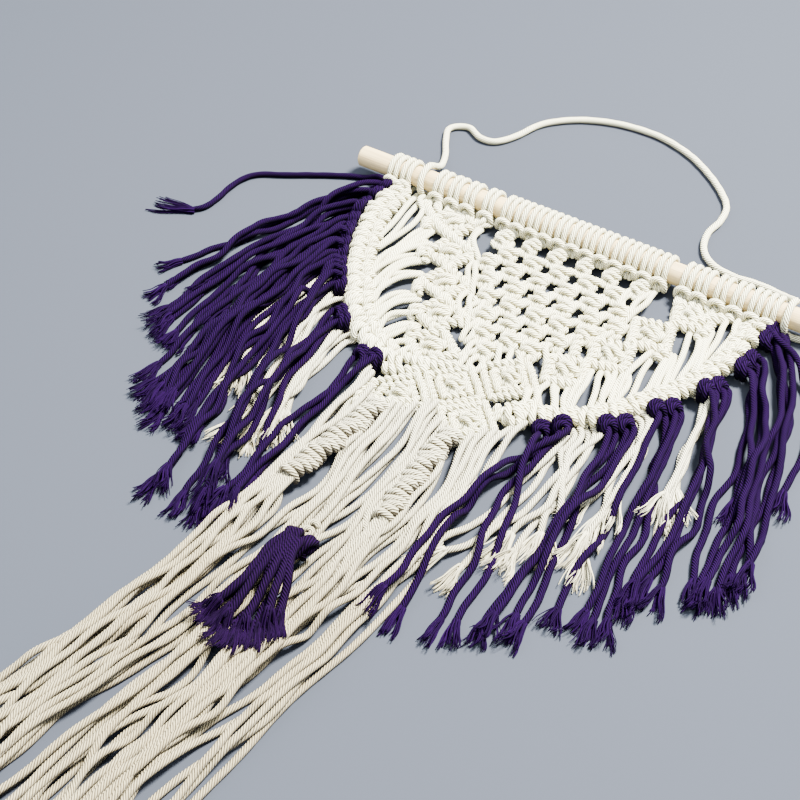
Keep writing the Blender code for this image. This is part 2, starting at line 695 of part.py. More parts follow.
def centre_origin(shop):
    """Move everything so that the origin is at the middle of the base, without the hanging cord."""
    corners = [obj.matrix_world @ Vector(corner) for obj in shop.parts.objects
               if obj.name != "hanging_cord" for corner in obj.bound_box]
    low = Vector(min(corner[axis] for corner in corners) for axis in range(3))
    high = Vector(max(corner[axis] for corner in corners) for axis in range(3))
    shift = Vector(((low.x + high.x) / 2, (low.y + high.y) / 2, low.z))
    for obj in shop.parts.objects:
        obj.location -= shift


def main():
    clear_scene()
    shop = Workshop()
    make_dowel(shop)
    make_net(shop)
    for side in SIDE_FRINGES:
        make_side_fringe(shop, side)
    make_long_fringe(shop)
    make_spirals(shop)
    make_tassel(shop)
    make_hanging_cord(shop)
    bpy.context.view_layer.update()
    centre_origin(shop)


main()
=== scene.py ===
import math
import random

import bpy
import numpy as np
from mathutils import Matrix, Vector


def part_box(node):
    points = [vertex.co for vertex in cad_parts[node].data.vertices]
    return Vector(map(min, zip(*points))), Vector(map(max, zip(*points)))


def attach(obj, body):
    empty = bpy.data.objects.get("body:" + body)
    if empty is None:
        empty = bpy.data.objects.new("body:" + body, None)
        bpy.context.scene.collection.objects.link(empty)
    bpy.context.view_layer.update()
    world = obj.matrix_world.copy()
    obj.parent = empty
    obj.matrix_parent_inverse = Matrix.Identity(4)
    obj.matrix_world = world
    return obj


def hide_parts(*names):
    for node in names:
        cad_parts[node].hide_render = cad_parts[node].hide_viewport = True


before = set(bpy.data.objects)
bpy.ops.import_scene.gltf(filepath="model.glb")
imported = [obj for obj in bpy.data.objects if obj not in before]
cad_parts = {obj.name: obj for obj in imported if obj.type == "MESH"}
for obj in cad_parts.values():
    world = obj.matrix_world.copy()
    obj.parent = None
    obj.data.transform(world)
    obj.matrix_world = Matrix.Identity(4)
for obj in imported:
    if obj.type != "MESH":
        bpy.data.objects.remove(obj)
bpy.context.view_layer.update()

# Sizes and places are in millimetres: x along the dowel, y up the hanging, z up from the
# surface, counted from the middle of the dowel's axis as the maker's drawing has it.
mm = 0.001
dowelLeftX = -149.0
dowelLow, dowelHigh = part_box("dowel")
drawingOrigin = np.array([dowelLow.x / mm - dowelLeftX, (dowelLow.y + dowelHigh.y) / 2 / mm, 0.0])
dowelAxisZ = (dowelLow.z + dowelHigh.z) / 2 / mm
dowelRadius = (dowelHigh.z - dowelLow.z) / 2 / mm
turn = 2 * math.pi


def toWorld(points):
    return (np.asarray(points, float) + drawingOrigin) * mm


# lines that cords follow

def smoothLine(points, step):
    # evenly spaced points, about a step apart, on a smooth curve through the given ones
    points = np.asarray(points, float)
    if points.shape[1] == 2:
        points = np.column_stack([points, np.zeros(len(points))])
    padded = np.vstack([2 * points[0] - points[1], points, 2 * points[-1] - points[-2]])
    before, start, end, after = padded[:-3], padded[1:-2], padded[2:-1], padded[3:]
    t = np.linspace(0, 1, 16, endpoint=False)[None, :, None]
    before, start, end, after = (part[:, None, :] for part in (before, start, end, after))
    fine = 0.5 * (2 * start + (end - before) * t + (2 * before - 5 * start + 4 * end - after) * t ** 2
                  + (3 * start - before - 3 * end + after) * t ** 3)
    fine = np.vstack([fine.reshape(-1, 3), points[-1]])
    return evenLine(fine, step)


def evenLine(line, step):
    travelled = travel(line)
    count = max(3, int(round(travelled[-1] / step)) + 1)
    wanted = np.linspace(0, travelled[-1], count)
    return np.column_stack([np.interp(wanted, travelled, line[:, axis]) for axis in range(3)])


def travel(line):
    return np.concatenate([[0.0], np.cumsum(np.linalg.norm(np.diff(line, axis=0), axis=1))])


def directions(line):
    along = np.gradient(line, axis=0)
    return along / np.maximum(np.linalg.norm(along, axis=1), 1e-9)[:, None]


def toTheLeft(line):
    along = directions(line)
    left = np.column_stack([-along[:, 1], along[:, 0], np.zeros(len(line))])
    return left / np.maximum(np.linalg.norm(left, axis=1), 1e-9)[:, None]


def blur(values, reach):
    # a running mean that keeps the ends
    if len(values) < 3 or reach < 1:
        return values
    window = np.hanning(2 * reach + 3)[1:-1]
    padded = np.concatenate([np.full(reach, values[0]), values, np.full(reach, values[-1])])
    return np.convolve(padded, window / window.sum(), "valid")


# cords and frays as meshes

cordLook = {
    "radius": 1.9,
    "plyLines": 7,        # slant lines round a cord, one at each corner of its rings
    "lay": 11.5,          # length of one full twist
    "ringStep": 1.44,
    "endShrink": 0.7,     # how far the first and last ring draw in
    "taperBy": 0.5,       # how much a tapering end loses
    "tipReach": 0.4,      # how far the closed ends stand out, in radii
    # the closed ends get some of the painted under-side shade
    "tipUnderShade": 0.3,
    # the closed ends get half the painted groove shade
    "tipPly": 0.25,
}
frayLook = {
    "thickness": 0.46,
    "locks": 6,
    "steps": 8,
    "rooted": 4.0,        # how far the loose yarns start inside the cord
    # the loose yarns get a little of the painted groove shade
    "ply": 0.12,
    "sag": 0.75,
}
layStep = cordLook["ringStep"]
bendStep = 1.3            # spacing of points on short bent cords
made = []                 # the triangles of each piece


class Skein:
    # one piece of the hanging: many cords and frayed ends gathered into one mesh

    def __init__(self, name, seed):
        self.name = name
        self.dice = random.Random(seed)
        self.points = []
        self.quads = []
        self.triangles = []
        self.quadPly = []
        self.trianglePly = []
        self.underShade = []
        self.tone = []
        self.total = 0

    def add(self, points, quads, triangles, quadPly, trianglePly, underShade, tone):
        self.points.append(points)
        self.quads.append(quads + self.total)
        self.triangles.append(triangles + self.total)
        self.quadPly.append(quadPly.ravel())
        self.trianglePly.append(trianglePly.ravel())
        self.underShade.append(underShade)
        self.tone.append(np.full(len(points), tone))
        self.total += len(points)

    def cord(self, line, radius=cordLook["radius"], lay=cordLook["lay"], ringStep=None, tone=None, taper=0.0):
        line = evenLine(np.asarray(line, float), ringStep or cordLook["ringStep"] * lay / cordLook["lay"])
        count, spokes = len(line), cordLook["plyLines"]
        along = directions(line)
        side = np.empty_like(line)
        upright = np.array([0.0, 0.0, 1.0]) if abs(along[0][2]) < 0.9 else np.array([1.0, 0.0, 0.0])
        first = np.cross(along[0], upright)
        side[0] = first / np.linalg.norm(first)
        for index in range(1, count):
            carried = side[index - 1] - along[index] * np.dot(side[index - 1], along[index])
            side[index] = carried / np.linalg.norm(carried)
        other = np.cross(along, side)
        angles = (self.dice.uniform(0, turn) - turn * travel(line) / lay)[:, None]
        angles = angles + turn * np.arange(spokes)[None, :] / spokes
        size = np.ones(count)
        if taper:
            size = 1 - cordLook["taperBy"] * np.clip(1 - (travel(line)[-1] - travel(line)) / taper, 0, 1)
        size[[0, -1]] *= cordLook["endShrink"]
        outward = np.cos(angles)[:, :, None] * side[:, None, :] + np.sin(angles)[:, :, None] * other[:, None, :]
        rings = line[:, None, :] + outward * (radius * size)[:, None, None]
        tipReach = radius * cordLook["tipReach"]
        tips = np.array([line[0] - along[0] * tipReach, line[-1] + along[-1] * tipReach])
        points = np.vstack([rings.reshape(-1, 3), tips])
        ring = np.arange(count - 1)[:, None] * spokes
        spoke = np.arange(spokes)
        beside = (spoke + 1) % spokes
        quads = np.stack([ring + spoke, ring + beside, ring + spokes + beside, ring + spokes + spoke], -1)
        start, last = count * spokes, (count - 1) * spokes
        triangles = np.vstack([
            np.column_stack([np.full(spokes, start), beside, spoke]),
            np.column_stack([np.full(spokes, start + 1), last + spoke, last + beside]),
        ])
        # the ply numbers run round a cord, whole on each ply's back and half in the groove
        quadPly = np.tile(np.stack([spoke, spoke + 1, spoke + 1, spoke], -1), (count - 1, 1)).astype(float)
        trianglePly = np.full(triangles.shape, cordLook["tipPly"])
        # the painted shade on a cord's low sides: none on its upper side and whole from a little below its
        # middle
        underShade = np.clip((0.5 - outward[:, :, 2]) / 0.8, 0, 1).ravel()
        underShade = np.concatenate([underShade, [cordLook["tipUnderShade"]] * 2])
        tone = self.dice.random() if tone is None else tone
        self.add(points, quads.reshape(-1, 4), triangles, quadPly, trianglePly, underShade, tone)
        return line

    def bend(self, points, radius, step=bendStep, **look):
        # a cord along a smooth curve through a few points
        return self.cord(smoothLine(points, step), radius, **look)

    def fray(self, end, heading, length, spread, fibres, cordRadius=1.7, lowest=0.2):
        # a brush of loose yarns in a few curly locks that opens from a cord's end
        noise = np.random.RandomState(self.dice.randrange(1 << 30))
        heading = np.asarray(heading, float) / np.linalg.norm(heading)
        across = np.cross(heading, [0.0, 0.0, 1.0])
        across /= max(np.linalg.norm(across), 1e-9)
        upward = np.cross(across, heading)
        steps, locks, thickness = frayLook["steps"], frayLook["locks"], frayLook["thickness"]
        t = np.linspace(0, 1, steps)
        lock = np.arange(fibres) % locks
        lockAngle = turn * np.arange(locks) / locks + noise.uniform(0, turn)
        lockFan = np.cos(lockAngle) * spread + noise.normal(0, spread * 0.3, locks)
        lockRise = np.sin(lockAngle) * spread * 0.45 + noise.normal(0, spread * 0.15, locks)
        lockReach = length * noise.uniform(0.8, 1.05, locks)
        lockBeat = noise.uniform(4.0, 8.0, (locks, 2))
        lockSwing = noise.uniform(0.5, 1.3, (locks, 2))
        around = lockAngle[lock] + noise.uniform(-0.9, 0.9, fibres)
        out = cordRadius * noise.uniform(0.55, 0.98, fibres)
        fan = lockFan[lock] + noise.normal(0, spread * 0.24, fibres)
        rise = lockRise[lock] + noise.normal(0, spread * 0.14, fibres)
        reach = lockReach[lock] * noise.uniform(0.75, 1.08, fibres)
        opening = t ** 0.9
        swing = lockSwing[lock] * noise.uniform(0.5, 1.3, (fibres, 2))
        beat = lockBeat[lock]
        forward = reach[:, None] * t - frayLook["rooted"] * (1 - t)
        sideways = ((np.cos(around) * out)[:, None] * (1 - 0.3 * t) + fan[:, None] * opening
                    + swing[:, :1] * np.sin(beat[:, :1] * t) * t)
        lift = ((np.sin(around) * out)[:, None] * (1 - 0.4 * t) + rise[:, None] * opening
                + swing[:, 1:] * np.cos(beat[:, 1:] * t) * t * 0.6)
        lines = (np.asarray(end) + forward[:, :, None] * heading + sideways[:, :, None] * across
                 + lift[:, :, None] * upward)
        sag = max(0.0, end[2] - cordRadius - 1.0) * t ** 1.3
        lines[:, :, 2] = np.maximum(lines[:, :, 2] - sag * frayLook["sag"], lowest + thickness)
        width = thickness * (1 - 0.5 * t)[None, :, None] * noise.uniform(0.75, 1.25, fibres)[:, None, None]
        corners = noise.uniform(0, turn, fibres)[:, None] + turn * np.arange(3)[None, :] / 3
        spokeDirections = np.cos(corners)[:, :, None] * across + np.sin(corners)[:, :, None] * upward
        points = (lines[:, :, None, :] + width[:, :, :, None] * spokeDirections[:, None, :, :]).reshape(-1, 3)
        base = np.arange(fibres)[:, None, None] * steps * 3 + np.arange(steps - 1)[None, :, None] * 3
        here = np.arange(3)
        beside = (here + 1) % 3
        quads = np.stack([base + here, base + beside, base + 3 + beside, base + 3 + here], -1).reshape(-1, 4)
        first = np.arange(fibres) * steps * 3
        last = first + (steps - 1) * 3
        triangles = np.vstack([
            np.column_stack([first, first + 2, first + 1]),
            np.column_stack([last, last + 1, last + 2]),
        ])
        # each loose yarn gets a random amount of the painted under-side shade
        underShade = np.repeat(noise.uniform(0, 0.7, fibres), steps * 3)
        quadPly, trianglePly = (np.full(faces.shape, frayLook["ply"]) for faces in (quads, triangles))
        self.add(points, quads, triangles, quadPly, trianglePly, underShade, self.dice.random())

    def make(self, material, slotName, node):
        points = toWorld(np.vstack(self.points))
        quads = np.vstack(self.quads)
        triangles = np.vstack(self.triangles)
        mesh = bpy.data.meshes.new(self.name)
        mesh.vertices.add(len(points))
        mesh.vertices.foreach_set("co", points.ravel())
        corners = np.concatenate([quads.ravel(), triangles.ravel()])
        sizes = np.concatenate([np.full(len(quads), 4), np.full(len(triangles), 3)])
        mesh.loops.add(len(corners))
        mesh.loops.foreach_set("vertex_index", corners.astype(np.int32))
        mesh.polygons.add(len(sizes))
        starts = np.concatenate([[0], np.cumsum(sizes)[:-1]])
        mesh.polygons.foreach_set("loop_start", starts.astype(np.int32))
        mesh.polygons.foreach_set("use_smooth", np.ones(len(sizes), bool))
        mesh.update(calc_edges=True)
        for name, domain, values in (("ply", "CORNER", self.quadPly + self.trianglePly),
                                     ("underShade", "POINT", self.underShade), ("tone", "POINT", self.tone)):
            attribute = mesh.attributes.new(name, "FLOAT", domain)
            attribute.data.foreach_set("value", np.concatenate(values).astype(np.float32))
        mesh.materials.append(material)
        piece = bpy.data.objects.new(self.name, mesh)
        bpy.context.scene.collection.objects.link(piece)
        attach(piece, "root")
        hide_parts(node)
        made.append(2 * len(quads) + len(triangles))
        print("made", self.name, "with", made[-1], "triangles")
        return piece


# shader maths

class Socket:
    # a shader value that can be written into sums

    def __init__(self, tree, link):
        self.tree = tree
        self.link = link

    def maths(self, operation, *values, flip=False):
        node = self.tree.nodes.new("ShaderNodeMath")
        node.operation = operation
        values = [self, *values]
        if flip:
            values.reverse()
        for socket, value in zip(node.inputs, values):
            feed(self.tree, socket, value)
        return Socket(self.tree, node.outputs[0])

    def __add__(self, other):
        return self.maths("ADD", other)

    def __sub__(self, other):
        return self.maths("SUBTRACT", other)

    def __rsub__(self, other):
        return self.maths("SUBTRACT", other, flip=True)

    def __mul__(self, other):
        return self.maths("MULTIPLY", other)

    def __truediv__(self, other):
        return self.maths("DIVIDE", other)

    def __rtruediv__(self, other):
        return self.maths("DIVIDE", other, flip=True)

    def __pow__(self, other):
        return self.maths("POWER", other)

    def __rpow__(self, other):
        return self.maths("POWER", other, flip=True)

    __radd__ = __add__
    __rmul__ = __mul__


def feed(tree, socket, value):
    if isinstance(value, Socket):
        tree.links.new(value.link, socket)
    elif socket.type == "RGBA" and len(value) == 3:
        socket.default_value = (*value, 1.0)
    else:
        socket.default_value = value


class Finish:
    # a material, and one method that adds any node to it

    def __init__(self, name):
        self.material = bpy.data.materials.new(name)
        self.material.use_nodes = True
        self.tree = self.material.node_tree
        self.shader = self.tree.nodes["Principled BSDF"]

    def node(self, kind, settings=None, inputs=None, output=0):
        node = self.tree.nodes.new(kind)
        for key, value in (settings or {}).items():
            if key == "stops":
                setStops(node.color_ramp, value)
            else:
                setattr(node, key, value)
        for key, value in (inputs or {}).items():
            feed(self.tree, node.inputs[key], value)
        return Socket(self.tree, node.outputs[output])

    def mix(self, share, first, second):
        return self.node("ShaderNodeMix", {"data_type": "RGBA"}, {0: share, 6: first, 7: second}, output=2)

    def set(self, inputs):
        for key, value in inputs.items():
            feed(self.tree, self.shader.inputs[key], value)


def setStops(ramp, stops):
    while len(ramp.elements) > 1:
        ramp.elements.remove(ramp.elements[-1])
    for index, (place, colour) in enumerate(stops):
        stop = ramp.elements[0] if index == 0 else ramp.elements.new(place)
        stop.position = place
        stop.color = (*colour, 1.0)


naturalCotton = {
    "ridge": (0.90, 0.885, 0.64),
    "shadedGroove": (0.19, 0.155, 0.07),
    "warm": (0.88, 0.83, 0.55),
    "underShade": 0.30,           # painted shade: how much darker a cord is painted low on its sides
    "sharpness": 1.5,        # more of it keeps the painted shade of a groove narrower
    "roughness": 0.86,
    "sheen": 0.05,
    "shine": 0.2,
    "cloudScale": 38.0,      # slow changes of colour from cord to cord
    "yarnPerMetre": 2600,
    "plyHeight": 0.0005,
    "bump": 0.9,
}
# the fringe has the painted under-side shade nearly whole
fringeCotton = dict(naturalCotton, ridge=(0.37, 0.318, 0.185), shadedGroove=(0.034, 0.022, 0.010),
                    warm=(0.30, 0.245, 0.135), underShade=0.95,
                    paler={"colour": (0.74, 0.70, 0.50), "from": -290.0, "to": -140.0})
purpleCotton = dict(naturalCotton, ridge=(0.0066, 0.0004, 0.0178), shadedGroove=(0.0003, 0.0001, 0.0009),
                    warm=(0.0090, 0.0007, 0.0232), underShade=0.75, sharpness=0.85, roughness=0.8, sheen=0.0,
                    shine=0.025)
# the tassel: a darker copy of the violet cotton, with the painted under-side shade at full strength
tasselCotton = dict(purpleCotton, ridge=(0.0052, 0.0004, 0.0122), shadedGroove=(0.0005, 0.0001, 0.0014),
                    warm=(0.0068, 0.0006, 0.0156), underShade=1.0, sharpness=1.0)


def cottonFinish(name, look):
    finish = Finish(name)
    place = finish.node("ShaderNodeTexCoord", output=3)
    ply, underShade, tone = (finish.node("ShaderNodeAttribute", {"attribute_name": kept}, output=2)
                        for kept in ("ply", "underShade", "tone"))
    noises = ((look["cloudScale"], 3.0), (look["yarnPerMetre"] * 0.35, 2.0), (look["yarnPerMetre"], 1.0))
    cloud, fleck, yarn = (
        finish.node("ShaderNodeTexNoise", inputs={"Vector": place, "Scale": scale, "Detail": detail})
        for scale, detail in noises)
    warmth = tone * 0.5 + cloud * 0.9 - 0.35
    body = finish.mix(warmth, look["ridge"], look["warm"])
    if "paler" in look:
        # the cotton is paler next to the net than far down the fringe
        low, high = (toWorld((0.0, look["paler"][key], 0.0))[1] for key in ("from", "to"))
        upHanging = finish.node("ShaderNodeSeparateXYZ", inputs={"Vector": place}, output=1)
        body = finish.mix((upHanging - low) / (high - low), body, look["paler"]["colour"])
    # painted shade: the grooves between plies are painted darker, and the same mask lowers the bump there
    shadedGroove = 0.5 - (ply * turn).maths("COSINE") * 0.5
    # painted shade on a cord's low sides is added to the painted groove shade, with random darker flecks
    shadeAndFleck = shadedGroove ** look["sharpness"] * 0.95 + underShade * look["underShade"] + fleck * 0.34 - 0.16
    height = (yarn + fleck * 0.6) * 0.3 - shadedGroove
    bump = finish.node("ShaderNodeBump", inputs={"Strength": look["bump"], "Distance": look["plyHeight"],
                                                 "Height": height})
    finish.set({"Base Color": finish.mix(shadeAndFleck, body, look["shadedGroove"]), "Roughness": look["roughness"],
                "Normal": bump, "Sheen Weight": look["sheen"], "Sheen Roughness": 0.6,
                "Specular IOR Level": look["shine"]})
    return finish.material


naturalFinish = cottonFinish("natural cotton cord", naturalCotton)
fringeFinish = cottonFinish("natural cotton fringe", fringeCotton)
purpleFinish = cottonFinish("violet cotton cord", purpleCotton)
tasselFinish = cottonFinish("violet tassel cotton", tasselCotton)

birch = {
    "pale": (0.57, 0.43, 0.205),
    "grain": (0.20, 0.125, 0.055),
    "endGrain": (0.36, 0.26, 0.16),
    "roughness": 0.52,
    # how often the grain and the pores change along, across and through the dowel, in a metre
    "grainScale": (14.0, 420.0, 420.0),
    "poreScale": (60.0, 2400.0, 2400.0),
    "grainHeight": 0.0002,
    "bump": 0.35,
}


def birchFinish():
    finish = Finish("sanded birch")
    place = finish.node("ShaderNodeTexCoord", output=3)
    long, fine = (finish.node("ShaderNodeMapping", inputs={"Vector": place, "Scale": birch[key]})
                  for key in ("grainScale", "poreScale"))
    grain = finish.node("ShaderNodeTexNoise", inputs={"Vector": long, "Scale": 1.0, "Detail": 4.0,
                                                      "Roughness": 0.6, "Distortion": 0.4})
    pores = finish.node("ShaderNodeTexNoise", inputs={"Vector": fine, "Scale": 1.0, "Detail": 2.0})
    stops = [(0.35, (0, 0, 0)), (0.72, (1, 1, 1))]
    streaks = finish.node("ShaderNodeValToRGB", {"stops": stops}, {"Fac": grain})
    wood = finish.mix(streaks * 0.55 + pores * 0.3 - 0.1, birch["pale"], birch["grain"])
    # the cut ends face along the dowel
    facing = finish.node("ShaderNodeNewGeometry", output=1)
    ends = finish.node("ShaderNodeSeparateXYZ", inputs={"Vector": facing}, output=0)
    wood = finish.mix(ends.maths("ABSOLUTE") ** 8.0 * 0.6, wood, birch["endGrain"])
    bump = finish.node("ShaderNodeBump", inputs={"Strength": birch["bump"], "Distance": birch["grainHeight"],
                                                 "Height": pores + grain})
    finish.set({"Base Color": wood, "Roughness": birch["roughness"] + pores * 0.15, "Normal": bump})
    return finish.material


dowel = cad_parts["dowel"]
dowel.data.materials.clear()
dowel.data.materials.append(birchFinish())
print("dowel finished")


# camera, at the photo's angle

camera = {
    "target": (-20.58, -153.86, 0.0),
    "azimuth": 33.66,
    "elevation": 43.07,
    "distance": 716.15,
    "focalPixels": 1465.0,      # in the 800-pixel frame
    "frame": 800.0,
    "sensor": 36.0,
    "principalY": 402.0,
}


def makeCamera():
    data = bpy.data.cameras.new("camera")
    data.sensor_width = camera["sensor"]
    data.lens = camera["focalPixels"] / camera["frame"] * camera["sensor"]
    data.shift_y = (camera["principalY"] - camera["frame"] / 2) / camera["frame"]
    data.clip_start = 0.01
    data.clip_end = 20.0
    eye = bpy.data.objects.new("camera", data)
    bpy.context.scene.collection.objects.link(eye)
    azimuth, elevation = math.radians(camera["azimuth"]), math.radians(camera["elevation"])
    back = Vector((math.sin(azimuth) * math.cos(elevation), -math.cos(azimuth) * math.cos(elevation),
                   math.sin(elevation)))
    eye.location = Vector(toWorld(camera["target"])) + back * camera["distance"] * mm
    eye.rotation_mode = "QUATERNION"
    eye.rotation_quaternion = (-back).to_track_quat("-Z", "Y")
    bpy.context.scene.camera = eye


makeCamera()
print("camera set")


# hanging cord: a turn round the dowel at each end and the loose loop between them

hangingCord = {
    "diameter": 4.0,
    "wrapClear": 0.5,
    "leftX": -103.4,
    "rightX": 116.6,
    "leftTail": [(-101.6, 9.0, 2.2), (-102.6, -2.0, 2.2)],
    "loop": [(-109, 22, 6.0), (-116, 38, 2.2), (-125, 53, 2.2), (-129, 64, 2.2), (-120, 71, 2.2),
             (-108, 65, 2.2), (-98, 67, 2.2), (-91, 79, 2.2), (-85, 98, 2.2), (-73, 112, 2.2),
             (-58, 121, 2.2), (-40, 126, 2.2), (-18, 126, 2.2), (3, 119, 2.2), (19, 109, 2.2),
             (34, 96, 2.2), (45, 82, 2.2), (48, 67, 2.2), (47, 53, 2.2), (51, 39, 2.2),
             (60, 29, 2.2), (74, 25, 2.2), (90, 26, 2.2), (105, 22, 4.0)],
    "rightTail": [(120.0, -5.0, 2.2), (130.0, -3.0, 2.2), (141.0, -1.0, 2.2)],
    "lowestZ": 2.1,
    "pathStep": 1.2,
    "turnSteps": 12,
    "tone": 0.3,
}


def dowelTurn(x, start, sweep, drift):
    # one turn round the dowel, by angle from its top towards the loop's side
    radius = dowelRadius + hangingCord["wrapClear"] + hangingCord["diameter"] / 2
    steps = hangingCord["turnSteps"]
    points = []
    for step in range(steps + 1):
        angle = math.radians(start + sweep * step / steps)
        points.append((x + drift * step / steps, radius * math.sin(angle),
                       dowelAxisZ + radius * math.cos(angle)))
    return points


def makeHangingCord():
    route = (hangingCord["leftTail"] + dowelTurn(hangingCord["leftX"], -150, 190, -1.0) + hangingCord["loop"]
             + dowelTurn(hangingCord["rightX"] - 1.0, 40, -190, 1.0) + hangingCord["rightTail"])
    line = smoothLine(route, hangingCord["pathStep"])
    line[:, 2] = np.maximum(line[:, 2], hangingCord["lowestZ"])
    skein = Skein("hanging_loop_cord", 11)
    skein.cord(line, tone=hangingCord["tone"])
    piece = skein.make(naturalFinish, "natural_cotton", "hanging_cord")


makeHangingCord()


# knots

knotShape = {
    "radius": 1.68,
    "coreSpread": 1.6,       # the two cords inside: how far each is from the middle line
    "coreReach": 7.5,
    "coreZ": (4.0, 4.9, 4.0),
    "shake": 0.25,
    # the two working cords of one square knot: across, down the knot, up
    "leftWorker": [(-3.2, 6.6, 4.2), (-5.0, 4.3, 4.4), (-4.1, 2.7, 6.3), (0.0, 2.2, 8.2), (4.0, 1.6, 6.6),
                   (5.2, -0.2, 4.2), (4.1, -1.9, 6.3), (0.0, -2.4, 8.2), (-4.0, -3.0, 6.3), (-4.9, -4.6, 4.4),
                   (-3.2, -6.6, 4.2)],
    "rightWorker": [(3.2, 6.6, 4.2), (5.0, 4.6, 4.8), (5.8, 2.4, 6.6), (5.0, 0.4, 3.4), (0.0, 0.2, 1.9),
                    (-5.0, -0.2, 3.4), (-5.8, -1.0, 6.0), (-4.8, -2.4, 3.2), (0.0, -2.8, 1.9), (4.8, -3.2, 3.6),
                    (5.4, -4.6, 5.2), (3.2, -6.6, 4.2)],
}


def placeKnot(shape, middle, angle, scale):
    # a shape's points turned about z, scaled across and along, and set down at a place
    cos, sin = math.cos(angle), math.sin(angle)
    placed = []
    for across, down, up in shape:
        x, y = across * scale[0], down * scale[1]
        placed.append((middle[0] + x * cos - y * sin, middle[1] + x * sin + y * cos, middle[2] + up * scale[2]))
    return placed


def squareKnot(skein, middle, angle, scale, flip):
    # the two cords that lie inside it, and the two that are tied round them
    radius = knotShape["radius"] * min(1.0, (scale[0] + scale[1]) / 2 + 0.06)
    mirror = -1 if flip else 1
    jitter = [skein.dice.uniform(-knotShape["shake"], knotShape["shake"]) for _ in range(4)]
    reach = knotShape["coreReach"]
    for place in (-knotShape["coreSpread"], knotShape["coreSpread"]):
        core = [(place, down, up) for down, up in zip((reach, 0.0, -reach), knotShape["coreZ"])]
        skein.bend(placeKnot(core, middle, angle, scale), radius, 1.4)
    for worker in ("leftWorker", "rightWorker"):
        shape = [(mirror * across + jitter[0] * (index % 2), down + jitter[1] * (index % 3 - 1), up)
                 for index, (across, down, up) in enumerate(knotShape[worker])]
        skein.bend(placeKnot(shape, middle, angle, scale), radius, 1.2)


hitchRow = {
    "upward": 2.0,
    "z": 4.1,
    "coilStep": 0.55,
    "bumpLength": 13.0,      # from one group of hitches to the next, where they stand in groups
    "wander": 0.16,
    "coreRadius": 1.5,
    "coreRings": 4.0,
}


def coilLine(path, pitch, across, upward, phase, swing):
    # a cord wound round a line, as rows of clove hitches look
    path = evenLine(path, hitchRow["coilStep"])
    travelled = travel(path)
    turns = max(1, round(travelled[-1] / pitch))
    angle = phase + turn * turns * travelled / travelled[-1]
    swell = 1 + swing * np.abs(np.sin(np.pi * travelled / hitchRow["bumpLength"]))
    side = toTheLeft(path)
    line = path + side * (across * swell * np.cos(angle))[:, None]
    line[:, 2] += upward * swell * np.sin(angle)
    return line


def hitches(skein, path, across, pitch, radius, swing=0.0):
    path = evenLine(path, 0.8)
    shake = skein.dice.uniform(0.92, 1.08)
    line = coilLine(path, pitch * shake, across, hitchRow["upward"], skein.dice.uniform(0, turn), swing)
    travelled = travel(line)
    line[:, 0] += np.sin(travelled / 9.0 + skein.dice.uniform(0, turn)) * hitchRow["wander"]
    line[:, 1] += np.cos(travelled / 7.0) * hitchRow["wander"]
    skein.cord(line, radius)
    skein.cord(path, hitchRow["coreRadius"], ringStep=hitchRow["coreRings"])


# loops that hold the net on the dowel

headGroups = {
    # x where a group starts, how many heads, and their pitch
    "groups": [(-126.5, 2, 8.5), (-96.0, 3, 10.2), (-63.5, 1, 8.5), (-51.5, 12, 8.6), (57.5, 2, 8.5),
               (76.5, 2, 9.5), (95.6, 2, 8.3)],
    "wrapPitch": 3.5,
    "radius": 1.6,
    "legSpread": 0.6,
    "lean": 0.3,
    # the turn over the dowel, in degrees from its top towards the loop's side
    "turnFrom": -118,
    "turnTo": 180,
    "turnStep": 23,
    "barZ": 10.6,
    "barY": -9.8,
}


def makeHeads():
    skein = Skein("net_dowel_loops", 21)
    around = dowelRadius + headGroups["radius"]
    turnFrom, turnTo = headGroups["turnFrom"], headGroups["turnTo"]
    barY, barZ = headGroups["barY"], headGroups["barZ"]
    half = headGroups["wrapPitch"] / 2 - 0.1
    for start, heads, pitch in headGroups["groups"]:
        for head in range(heads):
            middle = start + head * pitch + headGroups["wrapPitch"]
            lean = skein.dice.uniform(-headGroups["lean"], headGroups["lean"])
            legs = []
            for side in (-1, 1):
                x = middle + side * half
                outer = x + side * headGroups["legSpread"]
                leg = [(x - side * 0.6, -10.8, 4.2), (x - side * 0.4, -9.4, 5.4)]
                for degrees in range(turnFrom, turnTo + 1, headGroups["turnStep"]):
                    share = (degrees - turnFrom) / (turnTo - turnFrom)
                    angle = math.radians(degrees)
                    leg.append((x + side * 0.2 + (outer - x) * share * 0.6 + lean * math.cos(angle),
                                around * math.sin(angle), dowelAxisZ + around * math.cos(angle)))
                leg += [(outer, -5.0, 2.4), (outer + side * 1.5, barY + 0.4, 4.6),
                        (outer + side * 1.2, barY - 0.2, barZ - 1.6)]
                legs.append(leg)
            bar = [(middle - half * 0.7, barY, barZ), (middle + half * 0.7, barY, barZ)]
            skein.bend(legs[0] + bar + legs[1][::-1], headGroups["radius"])
    skein.make(naturalFinish, "natural_cotton", "macrame_net")


makeHeads()


# centre panel of square knots

panel = {
    # rows of knots down to the point of the V: y, first knot, how many, pitch, knots on top of each other
    "rows": [(-15.2, -42.0, 6, 16.2, 2), (-29.3, -33.5, 5, 16.0, 1), (-40.5, -39.0, 6, 15.6, 1),
             (-53.5, -31.0, 6, 15.0, 1), (-66.5, -23.5, 5, 14.2, 1), (-79.5, -16.5, 4, 13.8, 1),
             (-92.0, -9.5, 3, 13.0, 1), (-104.0, -3.0, 1, 13.0, 1)],
    "stack": 7.6,
    "knotHeight": 9.6,
    "size": (0.84, 0.98, 0.88),
    "stackedSize": (0.66, 0.9),
    "shake": 0.8,
    "z": 0.9,
    "cord": 1.65,
    "cordInsets": (1.2, 4.0),            # of the cords from knot to knot, from the knot's middle
    "topInsets": (-3.6, -1.3, 1.3, 3.6),
}


